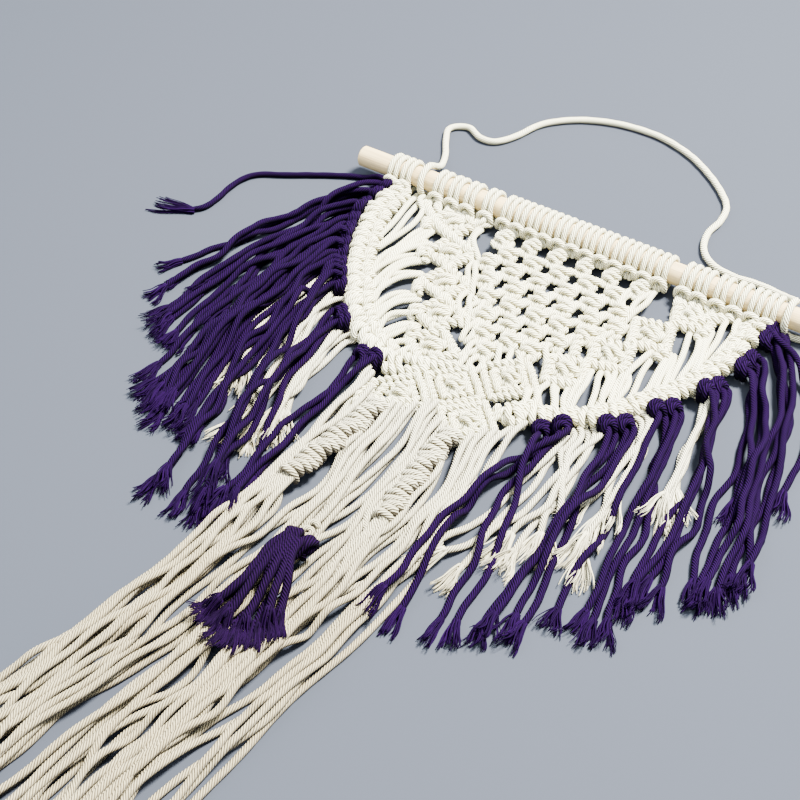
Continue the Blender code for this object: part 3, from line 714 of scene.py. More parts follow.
def makePanel():
    skein = Skein("net_centre_panel", 31)
    dice = skein.dice
    places = []
    for y, first, knots, pitch, stacked in panel["rows"]:
        row = []
        for index in range(knots):
            x = first + index * pitch + dice.uniform(-1, 1) * panel["shake"]
            row.append((x, y + dice.uniform(-1, 1) * panel["shake"] + index * 0.3))
        places.append(row)
        for x, y in row:
            lean = dice.uniform(-0.12, 0.12)
            for layer in range(stacked):
                down = (layer - (stacked - 1) / 2) * panel["stack"]
                across, along, up = panel["size"]
                if stacked > 1:
                    across, along = panel["stackedSize"]
                size = (across * dice.uniform(0.94, 1.05), along * dice.uniform(0.95, 1.04), up)
                flip = (layer + knots) % 2 == 1
                squareKnot(skein, (x + lean * down, y - down, panel["z"]), lean, size, flip)
    halfKnot = panel["knotHeight"] / 2 - 1.5
    for (_, _, _, pitch, stacked), row, lower in zip(panel["rows"], places, places[1:]):
        drop = panel["stack"] * (stacked - 1) / 2 + halfKnot
        for x, y in row:
            for nextX, nextY in lower:
                lean = nextX - x
                if abs(lean) > pitch * 0.85:
                    continue
                towards = 1 if lean > 0 else -1
                for inset in panel["cordInsets"]:
                    start = (x + towards * inset, y - drop, 4.4)
                    end = (nextX - towards * (sum(panel["cordInsets"]) - inset), nextY + halfKnot, 4.4)
                    # where two cross, one passes under the other
                    middle = ((start[0] + end[0]) / 2 + towards * dice.uniform(0, 0.8), (start[1] + end[1]) / 2,
                              3.6 if lean > 0 else 5.4)
                    skein.bend([start, middle, end], panel["cord"])
    # the cords between the heads and the first row
    for x, _ in places[0]:
        for inset in panel["topInsets"]:
            skein.bend([(x + inset, -6.4, 6.2), (x + inset * 0.95, -8.6, 5.4), (x + inset * 0.8, -11.0, 4.6)],
                       panel["cord"])
    skein.make(naturalFinish, "natural_cotton", "macrame_net")


makePanel()


# diamonds of clove hitches round a square knot

diamonds = {
    # middle, half-diagonal, turn in degrees, rows of hitches round it
    "left": [(-74, -20, 16.5, 30, 1), (-61, -44, 16.5, 28, 1), (-49, -68, 16.5, 26, 1),
             (-38, -91, 16.5, 20, 1), (-27, -115, 17.5, 8, 1)],
    "right": [(73, -21, 16.5, -30, 1), (61, -46, 16.5, -28, 1), (51, -71, 16.5, -30, 1),
              (38, -94, 16.5, -24, 1)],
    "middle": [(18, -114.5, 19.4, -3, 2), (-2, -134, 19.0, 0, 2), (-21, -153, 19.0, 0, 2),
               (17, -152, 19.0, 0, 2)],
    "lean": {2: (-8.0, -1.5)},       # how far the lowest corner of a middle diamond is pulled aside
    "oneRow": {"inset": 3.0, "across": 1.75, "radius": 1.62, "pitch": 3.7},
    "twoRows": {"inset": 2.3, "across": 1.05, "radius": 1.42, "pitch": 3.3},
    "ridge": {"across": 1.8, "radius": 1.65, "pitch": 3.8},
    "knotSize": 0.9,
    "smallKnotSize": 0.72,
    "knotHeight": 0.92,
    "knotZ": 0.8,
    "cord": 1.55,
    "cordSpace": (-2.0, 2.0),
}
ridges = {
    # rows of hitches that cross from one diamond to the next
    "left": [[(-99, -13), (-90, -20), (-80, -27), (-70, -32), (-60, -35), (-51, -39)]],
    "right": [[(90, -12), (82, -18), (74, -26), (66, -32)], [(31, -68), (34, -76), (37, -84)]],
    "middle": [[(-43, -141), (-35, -142), (-27, -138), (-19, -132)],
               [(-38, -129), (-27, -130), (-17, -127), (-9, -121)],
               [(-42, -151), (-39, -160), (-35, -169), (-31, -176)],
               [(24, -137), (33, -141), (41, -139)], [(38, -122), (34, -129), (27, -133)]],
}


def makeDiamonds(group, seed):
    skein = Skein("net_diamonds_" + group, seed)
    dice = skein.dice
    for index, (x, y, reach, degrees, rows) in enumerate(diamonds[group]):
        angle = math.radians(degrees)
        row = diamonds["oneRow"] if rows == 1 else diamonds["twoRows"]
        for ring in range(rows):
            corner = reach - row["inset"] * 1.41 * (1 + 2 * ring)
            corners = [np.array((x + corner * math.cos(angle + quarter * math.pi / 2),
                                 y + corner * math.sin(angle + quarter * math.pi / 2))) for quarter in range(5)]
            if group == "middle":
                corners[3] = corners[3] + diamonds["lean"].get(index, (0.0, 0.0))
            for start, end in zip(corners, corners[1:]):
                middle = (start + end) / 2
                bulge = middle + (middle - (x, y)) * dice.uniform(0.0, 0.07)
                over = (end - start) / np.linalg.norm(end - start) * (1.4 if rows == 1 else 0.8)
                side = smoothLine([start - over, bulge, end + over], 1.0)
                side[:, 2] = hitchRow["z"] + dice.uniform(-0.3, 0.5) - 0.3 * ring
                hitches(skein, side, row["across"], row["pitch"], row["radius"])
        size = diamonds["knotSize"] if rows == 1 else diamonds["smallKnotSize"]
        quarterTurn = angle if abs(angle) < math.pi / 4 else angle - math.pi / 2
        squareKnot(skein, (x, y, diamonds["knotZ"]), quarterTurn, (size, size, diamonds["knotHeight"]),
                   dice.random() < 0.5)
        # cords that run from the knot under the four sides
        inner = reach - row["inset"] * 1.41 * (2 * rows - 1)
        for quarter in range(4):
            a = angle + math.pi / 4 + quarter * math.pi / 2
            out = np.array((math.cos(a), math.sin(a)))
            for shift in diamonds["cordSpace"]:
                beside = np.array((-math.sin(a), math.cos(a))) * shift
                start, end = (x, y) + out * 2.5 + beside * 0.7, (x, y) + out * inner * 0.72 + beside
                skein.cord([(*start, 4.6), (*end, 3.9)], diamonds["cord"])
    for path in ridges[group]:
        line = smoothLine(path, 1.0)
        line[:, 2] = hitchRow["z"] + 1.2
        hitches(skein, line, **diamonds["ridge"])
    skein.make(naturalFinish, "natural_cotton", "macrame_net")


for diamondSeed, diamondGroup in enumerate(("left", "right", "middle"), 41):
    makeDiamonds(diamondGroup, diamondSeed)
print("diamonds tied")


# ridged bands along the outer edges of the wings

wingBands = {
    "left": [(-115.5, -5), (-116.5, -20), (-116.5, -33), (-110.5, -54), (-98.5, -80), (-86.5, -98),
             (-77, -111.5), (-65, -124.5), (-55, -131), (-44, -135), (-33, -136.5)],
    "right": [(106, -5), (104.5, -22), (104, -42), (98.5, -64), (92, -79.5), (84, -93), (76.5, -105.5),
              (67.5, -117), (58, -124.5), (47.5, -130.5), (37, -135.5), (28, -139)],
    "outer": {"across": 2.3, "swing": 0.9, "pitch": 3.9, "radius": 1.8},
    "inner": {"across": 1.8, "swing": 0.5, "pitch": 4.0, "radius": 1.7, "offset": 6.6},
    "thickness": {"left": 1.0, "right": 0.74},
    "bulge": 2.2,
    "rise": 1.4,
    "z": 4.9,
}


def makeBand(side, seed):
    skein = Skein("net_wing_band_" + side, seed)
    line = smoothLine(wingBands[side], 1.0)
    # the band bulges outward at each group of hitches
    inward = 1 if side == "left" else -1
    bulge = np.abs(np.sin(np.pi * travel(line) / hitchRow["bumpLength"]))
    line = line - toTheLeft(line) * (inward * wingBands["bulge"] * (bulge - 0.6))[:, None]
    line[:, 2] = wingBands["z"] + wingBands["rise"] * bulge
    outer, inner = wingBands["outer"], wingBands["inner"]
    share = wingBands["thickness"][side]
    hitches(skein, line, outer["across"] * share, outer["pitch"], outer["radius"], outer["swing"])
    beside = line + toTheLeft(line) * inward * inner["offset"] * share
    beside = beside[int(len(beside) * 0.04):int(len(beside) * 0.97)]
    hitches(skein, beside, inner["across"] * share, inner["pitch"], inner["radius"], inner["swing"])
    skein.make(naturalFinish, "natural_cotton", "macrame_net")
    return smoothLine(wingBands[side], 1.0)


leftBand = makeBand("left", 51)
rightBand = makeBand("right", 52)


# loose cords of the net

looseCords = {
    # start, end, bow to the left, how many, space between them
    "rows": [
        ((-104, -8), (-100, -62), 4, 3, 4.2), ((-97, -8), (-90, -18), 0, 3, 4.0),
        ((-82, -31), (-90, -76), 2, 3, 3.8), ((-76, -44), (-85, -84), -2, 2, 4.2),
        ((-69, -57), (-76, -99), -7, 3, 3.9), ((-64, -69), (-72, -105), -8, 2, 3.9),
        ((-55, -87), (-64, -113), -3, 3, 3.9), ((-49, -98), (-58, -119), -3, 2, 4.0),
        ((-41, -108), (-51, -126), -4, 3, 3.9), ((-36, -118), (-42, -132), -2, 2, 3.9),
        ((-86, -9), (-82, -14), 0, 3, 4.0), ((-76, -8), (-72, -12), 0, 2, 4.0),
        ((91, -9), (95, -58), 2, 3, 4.2), ((85, -27), (94, -70), 1, 2, 4.4),
        ((79, -30), (87, -80), 3, 3, 4.0), ((75, -54), (80, -91), 3, 3, 4.2),
        ((69, -56), (73, -102), -2, 2, 4.4), ((62, -80), (67, -108), 1, 3, 4.1),
        ((54, -85), (62, -113), 2, 2, 4.4), ((47, -88), (54, -119), 1, 2, 4.2),
        ((45, -104), (53, -122), 0, 2, 4.0), ((38, -107), (46, -126), 0, 3, 4.0),
        ((31, -114), (36, -131), 0, 3, 4.0), ((30, -136), (25, -143), 0, 2, 3.6),
        ((84, -9), (82, -16), 0, 3, 4.0), ((96, -8), (99, -30), 0, 2, 4.0),
        ((46, -13), (43, -42), 2, 2, 3.8), ((-60, -8), (-62, -15), 0, 3, 4.0),
        ((61, -8), (64, -15), 0, 3, 4.0), ((-58, -17), (-46, -41), -3, 2, 3.6),
        ((-45, -44), (-34, -66), -3, 2, 3.6), ((-33, -69), (-23, -90), -3, 2, 3.4),
        ((45, -47), (37, -68), 2, 2, 3.6), ((-38, -18), (-37, -38), 3, 1, 0),
        ((40, -18), (41, -38), -4, 2, 3.6), ((-40, -44), (-33, -52), 2, 1, 0),
        ((-32, -57), (-26, -66), 2, 2, 3.6), ((43, -57), (33, -66), -2, 2, 3.6),
        ((-25, -70), (-26, -84), 2, 2, 3.6), ((-18, -83), (-17, -100), 2, 2, 3.6),
        ((-11, -96), (-13, -112), 2, 2, 3.6), ((-4, -108), (-4, -118), 0, 3, 3.6),
        ((17, -95), (19, -100), 0, 2, 3.6), ((4, -96), (9, -106), 0, 2, 3.6),
        ((25, -82), (27, -92), 0, 2, 3.6),
    ],
    "arch": 2.4,
    "hidden": 2.5,        # how far each end runs on under the knots
    "radius": 1.64,
    "sway": 0.9,
    "lowZ": 2.9,
}
vertexTurns = {
    # short turns of hitches at the outer corners of the diamonds, where the loose cords leave
    "places": [(-85, -31, 28), (-72, -56, 28), (-58, -81, 26), (-49, -98, 24), (-41, -112, 12), (83, -33, -28),
               (73, -58, -28)],
    "length": 8.5,
    "z": (5.6, 6.2, 5.2),
    "row": {"across": 2.1, "radius": 1.65, "pitch": 3.6},
}


def bowLine(start, end, bow, count=9):
    start, end = np.array(start, float), np.array(end, float)
    t = np.linspace(0, 1, count)[:, None]
    along = end - start
    left = np.array([-along[1], along[0]]) / np.linalg.norm(along)
    return start + along * t + left * bow * 4 * t * (1 - t)


def makeLooseCords():
    skein = Skein("net_loose_cords", 61)
    dice = skein.dice
    for start, end, bow, count, space in looseCords["rows"]:
        for index in range(count):
            along = np.subtract(end, start) / np.hypot(*np.subtract(end, start))
            hidden = looseCords["hidden"]
            first = np.array(start) - along * (hidden + dice.uniform(-1, 1)) + (dice.uniform(-1, 1), 0)
            last = np.array(end) + along * hidden + (dice.uniform(-1.4, 1.4), 0)
            middle = bowLine(first, last, bow + dice.uniform(-1.8, 1.8))
            line = np.column_stack([middle, np.zeros(len(middle))])
            shift = (index - (count - 1) / 2) * space
            squeeze = np.linspace(-1, 1, len(line)) ** 2
            t = np.linspace(0, 1, len(line))
            hump = 4 * t * (1 - t)
            sway = np.sin(turn * (t * dice.uniform(0.7, 1.3) + dice.random())) * hump * looseCords["sway"]
            line = line + toTheLeft(line) * (shift * (1 - 0.4 * squeeze) + sway)[:, None]
            arch = looseCords["arch"] + dice.uniform(-1.2, 1.8)
            line[:, 2] = looseCords["lowZ"] + (arch + 1.3) * hump * 0.8 + dice.uniform(-0.4, 0.9)
            skein.bend(line, looseCords["radius"])
    for x, y, degrees in vertexTurns["places"]:
        angle = math.radians(degrees - 90)
        half = np.array((math.cos(angle), math.sin(angle))) * vertexTurns["length"] / 2
        path = np.array([(x + way * half[0], y + way * half[1], z)
                         for way, z in zip((-1, 0, 1), vertexTurns["z"])])
        hitches(skein, path, **vertexTurns["row"])
    skein.make(naturalFinish, "natural_cotton", "macrame_net")


makeLooseCords()
print("loose cords laid")


# how cords lie on the surface and on each other

class Pile:
    # the height of what already lies on the surface, cell by cell

    def __init__(self, low, high, cell):
        self.low = np.array(low, float)
        self.cell = cell
        size = np.ceil((np.array(high) - low) / cell).astype(int)
        self.height = np.zeros(size)

    def around(self, radius):
        reach = int(radius / self.cell)
        spots = [(i, j) for i in range(-reach, reach + 1) for j in range(-reach, reach + 1)
                 if math.hypot(i, j) * self.cell < radius]
        lifts = [math.sqrt(radius ** 2 - (i * i + j * j) * self.cell ** 2) for i, j in spots]
        return np.array(spots), np.array(lifts)

    def cellsOf(self, line):
        return np.clip(((line[:, :2] - self.low) / self.cell).astype(int), 4, np.array(self.height.shape) - 5)

    def settle(self, line, radius, ceiling, stiffness=4, firstZ=None):
        # the line's own heights, so that it lies on what is under it
        spots, lifts = self.around(radius)
        cells = self.cellsOf(line)[:, None, :] + spots[None, :, :]
        needed = np.max(self.height[cells[:, :, 0], cells[:, :, 1]] + lifts, axis=1)
        needed = np.clip(needed, radius, ceiling)
        if firstZ is not None:
            needed = np.maximum(needed, firstZ * (1 - travel(line) / 14.0))
        wide = needed.copy()
        for shift in range(1, stiffness + 1):
            wide[shift:] = np.maximum(wide[shift:], needed[:-shift])
            wide[:-shift] = np.maximum(wide[:-shift], needed[shift:])
        line = line.copy()
        line[:, 2] = np.maximum(blur(wide, stiffness + 2), needed)
        line[:, 2] = np.maximum(blur(line[:, 2], 2), needed - 0.25)
        return line

    def press(self, line, radius):
        spots, lifts = self.around(radius)
        fine = evenLine(line, self.cell * 0.8)
        cells = self.cellsOf(fine)[:, None, :] + spots[None, :, :]
        tops = fine[:, 2][:, None] + lifts[None, :] * 0.92
        np.maximum.at(self.height, (cells[:, :, 0], cells[:, :, 1]), tops)


pile = Pile((-250.0, -530.0), (220.0, 60.0), 0.8)


def layCord(skein, flatLine, radius, ceiling, firstZ=None, **look):
    line = evenLine(flatLine, layStep)
    line = pile.settle(line, radius, ceiling, firstZ=firstZ)
    pile.press(line, radius)
    return skein.cord(line, radius, **look)


def wavy(flatLine, amount, length, dice):
    # the same flat line with a slow side-to-side wave that starts from nothing
    line = evenLine(flatLine, layStep)
    travelled = travel(line)
    phase = dice.uniform(0, turn)
    wave = (np.sin(turn * travelled / length + phase)
            + 0.5 * np.sin(turn * travelled / (length * 0.43) + phase * 2.3))
    easing = np.clip(travelled / 30.0, 0, 1) * amount * 0.6
    return line + toTheLeft(line) * (wave * easing)[:, None]


# long fringe and the two spiral sennits

longFringe = {
    # where its edges and the spirals run: y, left edge, left spiral, right spiral, right edge
    "stations": [(-158, -43, -22, 17, 43), (-184, -45, -24, 17, 50), (-234, -46, -31, 21, 54),
                 (-282, -48, -33, 20, 50), (-336, -52, -38, 14, 42), (-383, -62, -46, 8, 37),
                 (-440, -70, -52, 6, 37), (-500, -76, -56, 6, 39)],
    "endY": -500.0,
    "ragged": 7.0,
    "bottomStrands": 20,
    "topStrands": 19,
    "radius": 1.64,
    "ceiling": (5.2, 8.4),       # how high the two layers may rise over each other
    "wave": 3.6,
    "waveLength": 105.0,
    # bunches drift together and part again: length of the wave, its shift from strand to strand, reach
    "bunches": [(41.0, 24.0, 2.7), (22.0, 47.0, 1.5), (90.0, 13.0, 1.4)],
    "calm": (-268.0, 34.0, 0.65),    # where they drift less, under the tassel: y, length, share
    "spiralRoom": 6.0,
    "tasselKnot": (-2.0, -250.5),    # the cord that the tassel hangs from is tied here
}


def fringeX(y, column):
    table = np.array(longFringe["stations"], float)
    return np.interp(-y, -table[:, 0], table[:, column])


def fringeTopY(x):
    # the lower edge of the two lowest diamonds, where the strands come out
    return np.interp(x, [-46, -41, -27, -2, 17, 38, 46], [-139, -151, -173, -154, -170, -149, -135])


def makeLongFringe():
    halves = {"left": Skein("long_fringe_left", 71), "right": Skein("long_fringe_right", 72)}
    dice = random.Random(70)
    rows = [(longFringe["bottomStrands"], 0.0), (longFringe["topStrands"], 0.5)]
    for layer, (strands, offset) in enumerate(rows):
        order = list(range(strands))
        dice.shuffle(order)
        for index in order:
            share = (index + offset + 0.1) / strands
            share = min(1.0, max(0.0, share + dice.uniform(-0.012, 0.012)))
            rootX = -46 + 90 * share
            topY = fringeTopY(rootX) + 4.0
            end = longFringe["endY"] + dice.uniform(0, longFringe["ragged"])
            ys = np.linspace(topY, end, 30)
            left, right = fringeX(ys, 1) + 1.5, fringeX(ys, 4) - 1.5
            wander = dice.uniform(-0.055, 0.055) * np.clip((topY - ys) / 120.0, 0, 1)
            lane = left + (right - left) * np.clip(share + wander, 0.0, 1.0)
            drift = sum(np.sin(ys / length + share * shift) * reach
                        for length, shift, reach in longFringe["bunches"])
            calmY, calmLength, calmShare = longFringe["calm"]
            drift = drift * (1 - calmShare * np.exp(-((ys - calmY) / calmLength) ** 2))
            lane = lane + drift * np.clip((topY - ys) / 50.0, 0, 1)
            blend = np.clip((topY - ys) / 30.0, 0, 1)
            lane = rootX * (1 - blend) + lane * blend
            for column in (2, 3):
                # the strands lie beside the spirals, not over them
                aside = lane - fringeX(ys, column)
                room = longFringe["spiralRoom"] * np.clip((ys + 240.0) / 12.0, 0, 1)
                room = room * np.clip((fringeTopY(rootX) - 3.0 - ys) / 12.0, 0, 1)
                way = 1 if np.mean(aside[ys > -232]) > 0 else -1
                lane = np.where(np.abs(aside) < room, fringeX(ys, column) + way * room, lane)
            flat = smoothLine(np.column_stack([lane, ys]), layStep)
            flat = wavy(flat, longFringe["wave"] * dice.uniform(0.3, 1.0),
                        longFringe["waveLength"] * dice.uniform(0.6, 1.3), dice)
            flat[:, 1] = np.maximum(flat[:, 1], longFringe["endY"] - 0.5)
            skein = halves["left" if share < 0.5 else "right"]
            layCord(skein, flat, longFringe["radius"], longFringe["ceiling"][layer], firstZ=4.4)
    knotX, knotY = longFringe["tasselKnot"]
    knot = [(knotX + 2.6 * math.cos(a), knotY + 2.2 * math.sin(a) - a * 0.35, 9.0 + 2.2 * math.sin(a * 0.5 + 1))
            for a in np.linspace(0, 2.6 * turn, 40)]
    halves["left"].bend(knot, 1.6, 1.2)
    for skein in halves.values():
        skein.make(fringeFinish, "natural_cotton", "long_fringe")


spiralSennit = {
    "column": {"left": 2, "right": 3},       # in the long fringe's stations
    "topY": {"left": -168.5, "right": -166.5},
    "endY": -231.0,
    "twist": 34.0,        # one turn of the spiral
    "cordPitch": 3.6,
    "thickness": 4.2,
    "swell": 0.36,
    "z": 8.4,
    "lowestZ": 1.8,
    "cordRadius": 1.8,
    "coreRadius": 2.9,
    "pressRadius": 3.4,
    "strands": 4,
    "strandSpace": 3.4,
    "wave": 3.0,
    "waveLength": 85.0,
    "ceiling": 9.0,
}


def spiralPath(side):
    ys = np.linspace(spiralSennit["topY"][side], spiralSennit["endY"], 24)
    path = smoothLine(np.column_stack([fringeX(ys, spiralSennit["column"][side]), ys]), 0.6)
    path[:, 2] = spiralSennit["z"]
    return path


def makeSpiral(side, seed):
    skein = Skein("spiral_sennit_cords_" + side, seed)
    dice = skein.dice
    path = spiralPath(side)
    travelled = travel(path)
    # each half knot is a coil whose wide ends creep round the core as the spiral turns
    coilAngle = turn * travelled / spiralSennit["cordPitch"]
    ridgeAngle = turn * travelled / spiralSennit["twist"]
    swell = 1 + spiralSennit["swell"] * np.cos(2 * (coilAngle - ridgeAngle))
    reach = spiralSennit["thickness"] * swell
    coil = path + toTheLeft(path) * (reach * np.cos(coilAngle))[:, None]
    coil[:, 2] = np.maximum(coil[:, 2] + 0.6 + reach * 0.8 * np.sin(coilAngle), spiralSennit["lowestZ"])
    skein.cord(coil, spiralSennit["cordRadius"])
    skein.cord(path + (0, 0, 0.8), spiralSennit["coreRadius"])
    count = spiralSennit["strands"]
    for index in range(count):
        shift = (index - (count - 1) / 2) * spiralSennit["strandSpace"]
        end = longFringe["endY"] + dice.uniform(0, longFringe["ragged"])
        ys = np.linspace(spiralSennit["endY"] + 5.0, end, 20)
        spread = np.clip((spiralSennit["endY"] - ys) / 60.0, 0, 1)
        lane = fringeX(ys, spiralSennit["column"][side]) + shift * (0.35 + spread * 1.1)
        flat = smoothLine(np.column_stack([lane, ys]), layStep)
        flat = wavy(flat, spiralSennit["wave"], spiralSennit["waveLength"], dice)
        flat[:, 1] = np.maximum(flat[:, 1], longFringe["endY"] - 0.5)
        layCord(skein, flat, longFringe["radius"], spiralSennit["ceiling"], firstZ=4.6)
    skein.make(fringeFinish, "natural_cotton", "spiral_sennit_" + side)


for spiralSide in ("left", "right"):
    pile.press(spiralPath(spiralSide), spiralSennit["pressRadius"])
makeLongFringe()
makeSpiral("left", 73)
makeSpiral("right", 74)
print("long fringe and sennits laid")


# side fringes

sideFringes = {
    # knot at the wing's edge, where its strands pass, and where each of them ends
    "purple": {
        "left": [
            ((-117, -18), (-152, -66), [(-183, -140), (-174, -147), (-173, -162), (-160, -145)]),
            ((-116, -37), (-143, -96), [(-163, -174), (-153, -182), (-139, -185), (-135, -163), (-128, -182)]),
            ((-114, -54), (-134, -121), [(-158, -178), (-146, -186), (-135, -214), (-119, -220), (-104, -216)]),
            ((-109, -70), (-124, -142), [(-129, -223), (-119, -230), (-110, -236), (-104, -228), (-123, -227)]),
            ((-101, -86), (-108, -160), [(-102, -233), (-93, -234), (-86, -232), (-100, -226), (-112, -224)]),
            ((-92, -100), (-87, -182), [(-83, -272), (-80, -265), (-64, -272), (-58, -265), (-62, -247)]),
            ((-74, -123), (-70, -196), [(-57, -258), (-56, -274), (-53, -268), (-44, -268)]),
            ((-47.5, -139), (-54, -196), [(-41, -263), (-42, -253), (-49, -262)]),
        ],
        "right": [
            ((113, -15), (143, -72), [(162, -190), (163, -183), (166, -176), (168, -171)]),
            ((110, -42), (137, -98), [(148, -192), (154, -194), (157, -190), (147, -140)]),
            ((102, -68), (124, -126), [(128, -216), (132, -209), (135, -203), (141, -204)]),
            ((89, -92), (106, -154), [(109, -236), (125, -234), (130, -232), (119, -231)]),
            ((73, -113), (86, -180), [(86, -261), (88, -256), (100, -252), (95, -250)]),
            ((50, -130), (53, -184), [(43, -274), (54, -274), (72, -269), (79, -266)]),
        ],
    },
    "natural": {
        "left": [
            ((-104, -88), (-108, -142), [(-104, -193), (-92, -195), (-80, -203), (-98, -190)]),
            ((-92, -107), (-86, -160), [(-70, -208), (-73, -223), (-61, -225), (-66, -214)]),
            ((-69, -131), (-66, -172), [(-59, -214), (-57, -206), (-62, -210), (-54, -212)]),
        ],
        "right": [
            ((104, -72), (114, -122), [(127, -162), (127, -152), (120, -158)]),
            ((84, -102), (94, -150), [(86, -178), (101, -186), (103, -174), (104, -209), (97, -203)]),
            ((62, -124), (70, -180), [(90, -206), (83, -209), (74, -221), (69, -218), (60, -243), (49, -240),
                                      (41, -237)]),
        ],
    },
    "radius": {"purple": 1.74, "natural": 1.64},
    "naturalIn": 3.6,       # the natural strands start nearer to the band, side by side
    "naturalSpace": 3.2,
    "headSpace": 4.7,       # half the distance between the two knots of a pair
    "headOut": 6.4,         # how far outside the band's outer row the heads sit
    "ceiling": {"purple": 15.5, "natural": 6.0},
    "firstZ": {"purple": 4.6, "natural": 2.6},
    "wave": 3.2,
    "waveLength": 85.0,
    "frayLength": {"purple": 12.5, "natural": 17.0},
    "fraySpread": {"purple": 3.2, "natural": 4.6},
    "frayFibres": 40,
}

sideHead = {
    # the bar of one lark's head: along the edge, outward, up; and how it is repeated just outside itself
    "bar": [(-3.0, 1.0, 3.0), (-3.4, 0.3, 5.8), (-2.2, -0.8, 8.0), (0.0, -1.2, 8.8), (2.2, -0.8, 8.0),
            (3.4, 0.3, 5.8), (3.0, 1.0, 3.0)],
    "turns": [(0.0, 0.0, 1.0), (2.7, -1.3, 0.82)],
    "radius": 1.95,
    "legs": 1.9,
    "ceiling": 13.0,
}


def edgeFrame(side, place):
    # the wing's edge direction and the way out of the net, nearest a place
    band = leftBand if side == "left" else rightBand
    nearest = int(np.argmin(np.hypot(band[:, 0] - place[0], band[:, 1] - place[1])))
    nearest = min(max(nearest, 3), len(band) - 4)
    along = directions(band)[nearest][:2]
    outward = np.array([-along[1], along[0]]) * (-1 if side == "left" else 1)
    return band[nearest][:2], along, outward


def frayedStrand(skein, flat, kind, dice):
    # a cord laid down on the pile, its last stretch opened into a brush
    flat = wavy(flat, sideFringes["wave"] * dice.uniform(0.3, 1.1),
                sideFringes["waveLength"] * dice.uniform(0.7, 1.5), dice)
    radius = sideFringes["radius"][kind]
    fray = sideFringes["frayLength"][kind] * dice.uniform(0.8, 1.2)
    flat = flat[:max(8, len(flat) - int(fray * 0.8 / layStep))]
    line = layCord(skein, flat, radius, sideFringes["ceiling"][kind], sideFringes["firstZ"][kind], taper=5.0)
    heading = line[-1] - line[-5] + np.array([dice.uniform(-0.5, 0.5), dice.uniform(-0.5, 0.5), 0.0])
    heading[2] = min(0.0, heading[2])
    skein.fray(line[-1], heading, fray, sideFringes["fraySpread"][kind] * dice.uniform(0.7, 1.3),
               sideFringes["frayFibres"], cordRadius=radius * 0.95)


def crossed(first, second):
    return first[0] * second[1] - first[1] * second[0]


def makeSideFringe(kind, side):
    for node, (knot, through, tips) in enumerate(sideFringes[kind][side], 1):
        seed = 500 + node * 7 + (0 if side == "left" else 100) + (0 if kind == "purple" else 300)
        skein = Skein(f"{kind}_strands_{side}_{node}", seed)
        dice = skein.dice
        edge, along, outward = edgeFrame(side, knot)
        start = edge + outward * sideFringes["headOut"]
        pairs = (-sideFringes["headSpace"], sideFringes["headSpace"])
        if kind == "purple":
            legs = (-sideHead["legs"], sideHead["legs"])
            roots = [start + along * (place + leg) for place in pairs for leg in legs]
        else:
            places = [index - (len(tips) - 1) / 2 for index in range(len(tips))]
            roots = [start - outward * sideFringes["naturalIn"] + along * place * sideFringes["naturalSpace"]
                     for place in places]
        # strands keep their order along the edge, with a few that cross
        facing = crossed(along, outward)
        sideOf = [crossed(np.subtract(tip, knot), outward) * facing for tip in tips]
        order = sorted(range(len(tips)), key=lambda index: sideOf[index] + dice.uniform(-400, 400))
        spread = [roots[min(len(roots) - 1, round(rank * (len(roots) - 1) / max(1, len(tips) - 1)))]
                  for rank in range(len(tips))]
        chosen = list(zip(order, spread))
        dice.shuffle(chosen)
        for index, root in chosen:
            tip = np.array(tips[index], float)
            way = np.array(through, float) + (tip - np.mean(tips, axis=0)) * 0.5
            way = way + (dice.uniform(-4, 4), dice.uniform(-4, 4))
            out = root + outward * 7.0 + (way - root) * 0.06
            flat = smoothLine([root, out, way, tip], layStep)
            frayedStrand(skein, flat, kind, dice)
        if kind == "purple":
            for place in pairs:
                # the bar of each lark's head lies over its own strands
                middle = start + along * place
                tilt = dice.uniform(-0.25, 0.25)
                for out, drop, narrow in sideHead["turns"]:
                    bar = [(*(middle + along * (a * narrow + tilt * o) + outward * (o + out)), z + drop * 0.5)
                           for a, o, z in sideHead["bar"]]
                    line = smoothLine(bar, 1.2)
                    resting = pile.settle(line, sideHead["radius"], sideHead["ceiling"])
                    crown = np.sin(np.linspace(0, math.pi, len(line)))
                    line[:, 2] += np.maximum(resting[:, 2] - line[:, 2] + drop, 0.0) * crown
                    skein.cord(line, sideHead["radius"])
        if kind == "purple" and node == 1:
            makeStray(skein, side)
        finish = purpleFinish if kind == "purple" else fringeFinish
        skein.make(finish, kind + "_cotton", f"{kind}_fringe_{side}_{node}")
    print(kind, "fringe laid,", side)


strayEnds = {
    "left": [(-119, -11), (-124, -11), (-136, -8), (-146, -9), (-158, -15), (-171, -23), (-183, -31),
             (-196, -39), (-201, -48), (-202, -59), (-201, -71), (-202, -82), (-208, -89)],
    "right": [(108, -12), (119, -19), (128, -24), (137, -33), (145, -45), (153, -64), (158, -81),
              (159, -96), (160, -112)],
    "turnedBy": {"left": (-5.0, 2.0, 0.0), "right": (0.0, 0.0, 0.0)},
    "frayLength": {"left": 22.0, "right": 15.0},
    "fraySpread": 4.4,
    "ceiling": 9.0,
    "firstZ": 5.4,
}


def makeStray(skein, side):
    flat = smoothLine(strayEnds[side], layStep)
    line = layCord(skein, flat, sideFringes["radius"]["purple"], strayEnds["ceiling"],
                   firstZ=strayEnds["firstZ"], taper=5.0)
    heading = line[-1] - line[-6] + strayEnds["turnedBy"][side]
    skein.fray(line[-1], heading, strayEnds["frayLength"][side], strayEnds["fraySpread"],
               sideFringes["frayFibres"])


for fringeSide in ("left", "right"):
    for fringeKind in ("natural", "purple"):
        makeSideFringe(fringeKind, fringeSide)


# tassel on top of the long fringe

